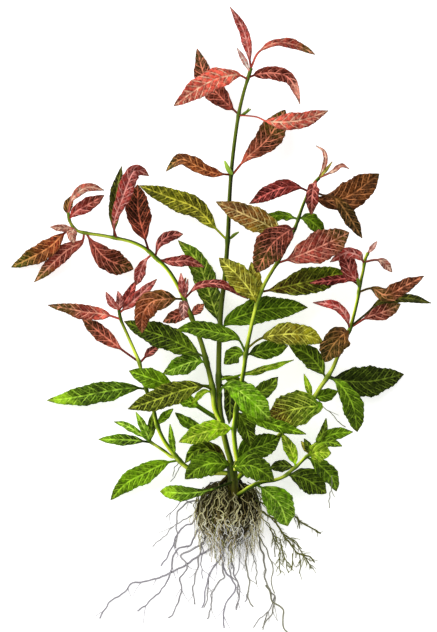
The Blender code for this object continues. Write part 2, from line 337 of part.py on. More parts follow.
# The longest roots, each from inside the ball to its tip: (foot radius, tip radius, route) in millimetres.
ROOTS = [
    (0.8, 0.4, [(-4, -12, 10), (-10, -24, 3), (-16, -28.5, 0.9), (-24.5, -34, 0.9), (-33.5, -38.5, 0.9),
                (-43.5, -41.5, 0.8), (-50.5, -42.5, 0.8), (-54, -47.5, 0.7), (-61.5, -52, 0.6),
                (-65.5, -60, 0.5)]),
    (0.8, 0.4, [(-8, -10, 11), (-13.5, -21.5, 4), (-24, -28, 1), (-25, -30, 0.9), (-22, -35, 2.6),
                (-25.5, -41, 0.8), (-25.5, -50, 0.8), (-28.5, -56.5, 0.7), (-32, -60, 0.5)]),
    (0.7, 0.4, [(-12, -7, 12), (-18, -17, 4), (-21, -23, 1.6), (-28.5, -26.5, 1), (-30.5, -35, 1),
                (-32, -40, 2.8), (-37, -47.5, 0.8), (-47.5, -56.5, 0.5)]),
    (0.6, 0.4, [(-12, -1, 12), (-21, -1.5, 6), (-26.5, -6, 2), (-27.5, -12, 1), (-27.5, -20, 0.8),
                (-28, -25, 0.6)]),
    (0.6, 0.4, [(-12, -4, 11), (-19, -11, 4), (-26, -16.5, 1.4), (-30, -24, 1.2), (-32, -29, 1),
                (-35.5, -34, 0.5)]),
    (0.6, 0.4, [(-6, -14, 8), (-15.5, -24, 2), (-17, -35, 0.8), (-19.5, -42.5, 0.8),
                (-18.5, -53.5, 0.5)]),
    (0.7, 0.4, [(-3, -12, 8), (-5, -23, 2.5), (-4.5, -32.5, 0.9), (-4, -39, 0.8), (-8, -42.5, 0.8),
                (-10, -50, 0.8), (-12.5, -60, 0.5)]),
    (0.6, 0.4, [(-5, -22, 3), (-6, -32, 0.8), (-11, -36.5, 0.8), (-12.5, -45, 0.8), (-15, -54.5, 0.5)]),
    (0.7, 0.4, [(-2, -13, 9), (-4, -24, 3), (-4.5, -34, 0.9), (0, -41, 0.8), (1.5, -46, 0.8),
                (-3, -52.5, 0.8), (-4.5, -59, 0.7), (-4, -65, 0.5)]),
    (0.6, 0.4, [(1, -12, 8), (0, -25, 1.5), (1, -36, 0.8), (3, -42.5, 0.8), (3.5, -50, 0.8),
                (2.5, -56, 0.5)]),
    (0.6, 0.4, [(5, -12, 8), (7.5, -22.5, 3), (8, -32.5, 0.9), (9, -42.5, 0.8), (9, -50, 0.7),
                (11, -54, 0.5)]),
    (0.7, 0.4, [(8, -10, 10), (13, -18, 4), (14.5, -25, 1.2), (16.5, -35, 0.8), (17, -42.5, 0.8),
                (21.5, -50, 0.8), (19, -57.5, 0.7), (15, -65, 0.5)]),
    (0.6, 0.4, [(17, -43.5, 0.8), (21, -49, 0.8), (25.5, -55, 0.8), (26, -60, 0.7), (29, -66, 0.5)]),
    (0.8, 0.4, [(9, -3, 16), (15, -6, 10), (21.5, -11, 4), (26.5, -19, 1.2), (32.5, -26.5, 0.9),
                (39, -29, 0.8), (41.5, -32.5, 0.5)]),
    (0.6, 0.4, [(11, 0, 16), (18, -3, 8), (26, -6, 2), (31, -8.5, 1), (34, -11, 0.9), (40, -15, 0.8),
                (43.5, -17, 0.5)]),
]


def smooth_route(route, steps=8):
    """A dense run of points on a Catmull-Rom curve through the route's own points."""
    points = [Vector(p) for p in route]
    ends = [2 * points[0] - points[1]] + points + [2 * points[-1] - points[-2]]
    dense = []
    for before, start, end, after in zip(ends, ends[1:], ends[2:], ends[3:]):
        for step in range(steps):
            t = step / steps
            dense.append(0.5 * (2 * start + (end - before) * t
                                + (2 * before - 5 * start + 4 * end - after) * t ** 2
                                + (3 * start - before - 3 * end + after) * t ** 3))
    return dense + [points[-1]]


def lengths_along(points):
    lengths = [0.0]
    for start, end in zip(points, points[1:]):
        lengths.append(lengths[-1] + (end - start).length)
    return lengths


def place_and_direction(points, lengths, share):
    """The place at a share of a route's length, and the way the route runs there."""
    wanted = share * lengths[-1]
    last = len(points) - 2
    index = min(last, max(0, sum(length <= wanted for length in lengths) - 1))
    start, end = points[index], points[index + 1]
    part = (wanted - lengths[index]) / (lengths[index + 1] - lengths[index])
    before = points[max(0, index - 1)]
    after = points[min(last + 1, index + 2)]
    way = (end - before).normalized().lerp((after - start).normalized(), part)
    return start.lerp(end, part), way.normalized()


def material_for(name, finish):
    colour, roughness = FINISHES[finish]
    material = bpy.data.materials.new(name)
    material.use_nodes = True
    shader = material.node_tree.nodes["Principled BSDF"]
    shader.inputs["Base Color"].default_value = (*colour, 1)
    shader.inputs["Roughness"].default_value = roughness
    shader.inputs["Metallic"].default_value = 0
    return material


def add_part(name, mesh, finish):
    mesh.transform(Matrix.Scale(MM, 4))
    mesh.materials.clear()
    mesh.materials.append(material_for(name + "_finish", finish))
    mesh.shade_smooth()
    piece = bpy.data.objects.new(name, mesh)
    plant.objects.link(piece)
    return piece


def fuse(piece, addition):
    """Joins another solid to a piece, and keeps that solid as a guide.

    The exact solver loses the faces where several leaf feet meet inside one stem tip, so this takes the
    manifold solver.
    """
    plant.objects.unlink(addition)
    guides.objects.link(addition)
    addition.hide_render = True
    addition.display_type = "WIRE"
    join = piece.modifiers.new("Join " + addition.name, "BOOLEAN")
    join.operation = "UNION"
    join.solver = "MANIFOLD"
    join.object = addition


def tube_mesh(name, foot_radius, tip_radius, route, step, sides):
    """A closed, tapered tube along a smooth route, as a mesh in millimetres."""
    points = smooth_route(route)
    lengths = lengths_along(points)
    count = max(3, round(lengths[-1] / step) + 1)
    curve = bpy.data.curves.new(name + "_curve", "CURVE")
    curve.dimensions = "3D"
    curve.bevel_depth = foot_radius
    curve.bevel_resolution = sides // 2 - 2
    curve.use_fill_caps = True
    spline = curve.splines.new("POLY")
    spline.points.add(count - 1)
    for index, point in enumerate(spline.points):
        share = index / (count - 1)
        place, _ = place_and_direction(points, lengths, share)
        point.co = (*place, 1)
        point.radius = 1 + (tip_radius / foot_radius - 1) * share
    guide = bpy.data.objects.new(name + "_curve", curve)
    plant.objects.link(guide)
    evaluated = guide.evaluated_get(bpy.context.evaluated_depsgraph_get())
    mesh = bpy.data.meshes.new_from_object(evaluated)
    mesh.name = name
    bpy.data.objects.remove(guide)
    edit = bmesh.new()
    edit.from_mesh(mesh)
    bmesh.ops.remove_doubles(edit, verts=edit.verts, dist=0.01)
    bmesh.ops.recalc_face_normals(edit, faces=edit.faces)
    edit.to_mesh(mesh)
    edit.free()
    return mesh


def blade_half_width(share, petiole, half_width, widest):
    """Half a leaf's width at a share of its length: a thin petiole, then a lance-shaped blade."""
    if share <= petiole:
        return PETIOLE_HALF_WIDTH
    along_blade = (share - petiole) / (1 - petiole)
    bend = math.log(0.5) / math.log(widest)
    outline = math.sin(math.pi * along_blade ** bend) ** OUTLINE_POWER if along_blade < 1 else 0
    least = PETIOLE_HALF_WIDTH + (TIP_HALF_WIDTH - PETIOLE_HALF_WIDTH) * along_blade
    return max(least, half_width * outline)


def leaf_surface(points, lengths, leaf, share, across):
    """A point on the leaf's middle surface, across running from -1 to 1 between its edges."""
    place, way = place_and_direction(points, lengths, share)
    level = way.cross(Vector((0, 0, 1))).normalized()
    up = level.cross(way)
    turn = math.radians(leaf["foot_turn"] + (leaf["tip_turn"] - leaf["foot_turn"]) * share)
    side = level * math.cos(turn) + up * math.sin(turn)
    face = up * math.cos(turn) - level * math.sin(turn)
    fold = math.radians(leaf["fold"])
    half_width = blade_half_width(share, leaf["petiole"], leaf["width"] / 2, leaf["widest"])
    return place + half_width * (across * math.cos(fold) * side + abs(across) * math.sin(fold) * face)


def beside_stem(route, bearer):
    """The leaf's route from just outside the stem that bears it."""
    foot, following = Vector(route[0]), Vector(route[1])
    foot_radius, tip_radius, stem_route = bearer
    points = smooth_route(stem_route)
    lengths = lengths_along(points)
    nearest = min(range(len(points)), key=lambda index: (points[index] - foot).length)
    share = lengths[nearest] / lengths[-1]
    axis, way = place_and_direction(points, lengths, share)
    radius = foot_radius + (tip_radius - foot_radius) * share
    outward = following - foot
    along_stem = outward.normalized().dot(way)
    outward = (outward - outward.dot(way) * way).normalized()
    clearance = radius + GAP + LEAF_THICKNESS / 2 + PETIOLE_HALF_WIDTH * abs(along_stem)
    return [foot + outward * clearance] + list(route[1:])


def leaf_piece(row):
    name, bearer_name, grown_in, finish, width, petiole, foot_turn, tip_turn, fold, route = row
    leaf = {"width": width, "petiole": petiole, "foot_turn": foot_turn, "tip_turn": tip_turn, "fold": fold,
            "widest": WIDEST_SHARES.get(name, WIDEST_SHARE)}
    if not grown_in:
        route = beside_stem(route, BEARERS[bearer_name])
    points = smooth_route(route)
    lengths = lengths_along(points)
    rows = SMALL_BLADE_ROWS if grown_in else BLADE_ROWS
    shares = [0] + [petiole + (1 - petiole) * step / rows for step in range(rows + 1)]
    edit = bmesh.new()
    bmesh.ops.create_grid(edit, x_segments=len(shares) - 1, y_segments=2, size=1)
    for vertex in edit.verts:
        row_number = round((vertex.co.x + 1) / 2 * (len(shares) - 1))
        vertex.co = leaf_surface(points, lengths, leaf, shares[row_number], vertex.co.y)
    mesh = bpy.data.meshes.new(name)
    edit.to_mesh(mesh)
    edit.free()
    piece = add_part(name, mesh, finish)
    body = piece.modifiers.new("Thickness", "SOLIDIFY")
    body.thickness = LEAF_THICKNESS * MM
    body.offset = 0
    return piece


def ball_mesh():
    """The lumpy ball of matted roots, cut off flat where it lies."""
    edit = bmesh.new()
    bmesh.ops.create_uvsphere(edit, u_segments=BALL_SEGMENTS, v_segments=BALL_RINGS, radius=1)
    for vertex in edit.verts:
        x, y, z = vertex.co
        lump = 1 + LUMP_DEPTH * math.sin(4 * x + 1) * math.cos(5 * y) + LUMP_DEPTH * math.sin(5 * z + 3 * x)
        vertex.co = Vector(BALL_MIDDLE) + Vector((x, y, z)) * Vector(BALL_HALF_SIZE) * lump
    everything = edit.verts[:] + edit.edges[:] + edit.faces[:]
    bmesh.ops.bisect_plane(edit, geom=everything, plane_co=(0, 0, 0), plane_no=(0, 0, -1), clear_outer=True)
    rim = [edge for edge in edit.edges if edge.is_boundary]
    bmesh.ops.edgeloop_fill(edit, edges=rim)
    bmesh.ops.recalc_face_normals(edit, faces=edit.faces)
    mesh = bpy.data.meshes.new("root_ball")
    edit.to_mesh(mesh)
    edit.free()
    return mesh


def root_ball():
    ball = add_part("root_ball", ball_mesh(), "root")
    crown = tube_mesh("crown", *CROWN_RADIUS, CROWN_ROUTE, CROWN_STEP, STEM_SIDES)
    fuse(ball, add_part("crown", crown, "root"))
    for number, (foot_radius, tip_radius, route) in enumerate(ROOTS, 1):
        name = f"root_{number:02d}"
        strand = tube_mesh(name, foot_radius, tip_radius, route, ROOT_STEP, ROOT_SIDES)
        fuse(ball, add_part(name, strand, "root"))
    return ball


def stem_piece(name):
    foot_radius, tip_radius, route = STEMS[name]
    return add_part(name, tube_mesh(name, foot_radius, tip_radius, route, STEM_STEP, STEM_SIDES), "stem")


for leftover in list(bpy.data.objects):
    bpy.data.objects.remove(leftover)
plant = bpy.data.collections.new("Rosanervig hygrophila")
guides = bpy.data.collections.new("Grown-in pieces")
bpy.context.scene.collection.children.link(plant)
bpy.context.scene.collection.children.link(guides)

BEARERS = {**STEMS, "root_ball": (*CROWN_RADIUS, CROWN_ROUTE)}
bearers = {name: stem_piece(name) for name in STEMS}
bearers["root_ball"] = root_ball()
for row in LEAVES:
    leaf_solid = leaf_piece(row)
    if row[2]:
        fuse(bearers[row[1]], leaf_solid)
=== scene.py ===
"""A bare-rooted rosanervig hygrophila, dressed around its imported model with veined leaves, stems and roots.

The tables repeat the part's named values, in millimetres in the part's own frame: where each stem and long
root runs, and each leaf's width, turns, fold and midrib. Every mesh is swept along those same routes.
"""
import math
from collections import Counter

import bpy
import numpy as np
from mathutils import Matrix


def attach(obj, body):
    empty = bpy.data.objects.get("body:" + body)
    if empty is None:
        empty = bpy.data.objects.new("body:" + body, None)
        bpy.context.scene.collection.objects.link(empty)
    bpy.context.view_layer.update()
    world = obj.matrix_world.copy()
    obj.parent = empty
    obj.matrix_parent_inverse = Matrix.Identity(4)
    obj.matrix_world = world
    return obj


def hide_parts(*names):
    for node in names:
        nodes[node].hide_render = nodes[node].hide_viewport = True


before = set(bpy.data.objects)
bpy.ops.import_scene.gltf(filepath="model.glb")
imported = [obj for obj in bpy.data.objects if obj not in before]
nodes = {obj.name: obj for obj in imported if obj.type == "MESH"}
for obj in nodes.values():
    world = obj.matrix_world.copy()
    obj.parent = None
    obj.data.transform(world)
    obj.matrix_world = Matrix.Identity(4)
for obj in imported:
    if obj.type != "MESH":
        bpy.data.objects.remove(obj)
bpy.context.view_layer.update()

MM = 0.001
FULL_TURN = 2 * math.pi
WORLD_UP = np.array([0.0, 0.0, 1.0])
FLOOR_CLEARANCE = 0.05  # mm

# The view and its light. The camera looks straight down from far away, and the view is in millimetres.
CAMERA_DISTANCE = 3.0
CAMERA_REACH = 20
SENSOR_WIDTH = 36
VIEW_MIDDLE = (-6.75, 92.0)
VIEW_LEVEL = 20.0
VIEW_HEIGHT = 316.0
FLOOR_COLOUR = (0.945, 0.945, 0.945, 1)
FLOOR_ROUGHNESS = 0.85
FLOOR_GLOW = 0.55
FLOOR_REACH = 4.0
WHITE = (1, 1, 1, 1)
WORLD_LIGHT = 0.6
LAMP_PLACE = (-0.85, 0.85, 1.0)
LAMP_SIZE = 1.2
LAMP_POWER = 15.5

# Seeds of what is drawn at random. Each leaf and stem adds its own number to its seed.
LEAF_SEED, STEM_SEED, MAT_SEED, CORE_SEED, ROOT_SEED = 1000, 60, 8, 3, 5

# Leaves, in millimetres.
PETIOLE_HALF_WIDTH = 0.6
TIP_HALF_WIDTH = 0.3
WIDEST_SHARE = 0.45  # where along its blade a leaf is widest, unless its row says otherwise
OUTLINE_POWER = 0.8  # under 1 makes the outline fuller
ROW_STEP, COLUMN_STEP = 0.62, 1.15  # between the points of a leaf's grid, along it and across half of it
VEIN_GAP = 4.4  # about how far apart a blade's side veins are
VEIN_SLANT = (0.95, 1.2)  # how far a side vein runs on along the leaf for each millimetre out
RELIEF = 0.55  # between a leaf's sunk veins and the swells between them
MARGIN_WAVE = 0.75  # how far a wide leaf's margin swings up and down
MARGIN_SWINGS = (2.2, 3.4)  # how many times it does so along a blade
FULL_WIDTH = 11  # narrower leaves have less relief
BLADE_HALF_THICKNESS, EDGE_HALF_THICKNESS = 0.15, 0.02
RIB_HEIGHT, GROOVE_DEPTH = 0.42, 0.22  # of the midrib, below and above
BLADE_START, DRY_FROM = 0.12, 0.88  # shares of a blade: where it is a plate, and where its tip dries
DRY_TIP = (66, 58, 18)
UNDERSIDE_HAZE = (150, 130, 96)

# Stems: colours of the painted highlight along the lit side, of the skin beside it, of the painted shade on
# the far side and of the band at a joint.
STEM_PAINTED_HIGHLIGHT, STEM_SKIN, STEM_PAINTED_SHADE, JOINT_BAND = (236, 252, 88), (134, 166, 16), (44, 62, 5), (58, 84, 12)
# The angle round a stem where the painted highlight lies, on its lit side.
PAINTED_LIT_SIDE = math.pi + 0.15
JOINT_REACH = 1.6  # mm

# The crown and the ball of roots.
BALL_MIDDLE = (-1.5, -7, 9.5)
BALL_HALF_SIZE = (16.5, 17, 16)
CORE_COLOUR = (34, 26, 8)
CROWN_RADIUS = (4.2, 2.4)
CROWN_FOOT_SHARE = 0.62  # the foot is thinner than the solid's, since strands cover it
CROWN_ROUTE = [(0.5, -8, 16), (0.8, 0, 20), (0.5, 9, 20.5), (-0.2, 18, 19.5)]
OLD_BARK, BARK_RIDGE, YOUNG_BARK = (62, 54, 20), (91, 75, 18), (52, 66, 8)


def table(text):
    """A table's rows, each as the words before its colon and the points after it, with commas between them.

    A line that starts with a space belongs to the row above it, and a heading has no colon and no points.
    """
    rows = []
    for line in text.strip().replace("\n ", " ").splitlines():
        words, _, points = line.partition(":")
        route = [tuple(map(float, point.split())) for point in points.split(",") if point]
        rows.append((words.split(), route))
    return rows


def sized_routes(text):
    """The rows of a table of roots: foot radius, tip radius and route."""
    return [(float(foot), float(tip), route) for (foot, tip), route in table(text)]

# Where each stem runs, from its foot to its tip: its foot radius, tip radius and route in millimetres.
STEMS = {name: (float(foot), float(tip), route) for (name, foot, tip), route in table("""
main_stem 1.5 0.8: -0.95 20.5 19, -2.5 26 18, -5 37.5 17, -6.5 52.5 17, -6.5 75 18, -5.5 95 19,
    -3.5 112.5 20, -2 132.5 20, -1 155 20, 0.5 172.5 19, 3 191 18, 5.5 202.5 17, 8 211 17, 9.5 216 17
left_branch 1.4 0.7: -8.6 46 18, -9.5 54.5 20, -11 62 21, -13 70 22, -15 77.5 22, -17.5 84.5 21,
    -20.5 92 21, -23.5 99.5 22, -27 107 22, -32 115 21, -37.5 120.5 20, -43 125.5 19, -50 129 18,
    -58 131 17, -66 132.5 16, -73 133.5 16, -78 135 16, -81 139 17, -82 143.8 18
side_branch 1.3 0.7: -3.8 13.5 18, -10 13.5 15, -17 14 12, -23 16.5 12, -28 21.5 13, -34 29.5 14,
    -37.5 37.5 14, -39.5 46 14, -42.5 54 15, -45 62.5 16, -46.5 69 17, -49 75 18, -52.5 83 19, -55.5 90 20,
    -56.5 95 21
small_shoot 0.9 0.7: -30.7 21.7 13.5, -34.3 24.6 14.5, -41 29 15
right_stem 1.3 0.7: 2.6 19 23, 1.6 26 25, 1 35 26, 2.5 47.5 26, 4.5 57.5 26, 6 66 26, 7 74 26, 9 84 26,
    11 92.5 25, 13 100 25, 16 107.5 25, 20 114.5 25, 23.5 120 25, 27 126.5 24, 30.5 133.5 24, 33 140 23,
    35 146 23, 37.5 152 23, 40.5 157.5 24, 43.5 161 25
right_branch 1.4 0.7: 4.3 12.4 18.8, 8 15.5 15, 15 22.5 11, 26.5 35 10, 34 43.5 13, 40.5 50.5 16, 44 56 17,
    47.5 61 17, 50.5 66 17, 53 72 17, 56 79 18, 59 85.5 18, 61 92.5 18, 63 101 18, 64 107.5 18, 65.5 114 19,
    66.5 120 20, 68 123.5 20
low_shoot 1.1 0.7: 5.2 4 22.5, 9 6.5 22.5, 15 9 21, 21.5 10 20, 26.5 12 19, 30 15 19, 32.5 17 19,
    36.5 21 20, 39.5 23.5 20, 42 28.5 20
""")}
# Where each stem starts beyond its solid, inside the crown or behind its neighbour, in millimetres.
HIDDEN_FEET = {
    "main_stem": (-0.2, 16, 19.3), "left_branch": (-5.4, 39, 17.2), "side_branch": (0.4, 12.8, 19.6),
    "small_shoot": (-28.2, 21.4, 13), "right_stem": (0.8, 14.5, 20.4), "right_branch": (0.8, 8.8, 20),
    "low_shoot": (1, 1.8, 20.3),
}
# How light each stem is at even steps from its foot to its tip.
STEM_SHADES = {
    "main_stem": (0.9, 0.58, 0.5, 0.56, 0.56, 0.62), "left_branch": (1.35, 0.46, 0.82, 1.15, 0.85, 0.7),
    "side_branch": (1.0, 0.78, 1.35, 0.55, 1.02, 0.5), "small_shoot": (0.88, 1.0, 1.05, 0.85, 0.85, 0.68),
    "right_stem": (1.45, 1.05, 0.92, 0.95, 0.72, 0.8), "right_branch": (1.1, 1.0, 0.85, 0.85, 1.15, 1.2),
    "low_shoot": (0.36, 1.15, 1.15, 0.66, 1.15, 0.85),
}

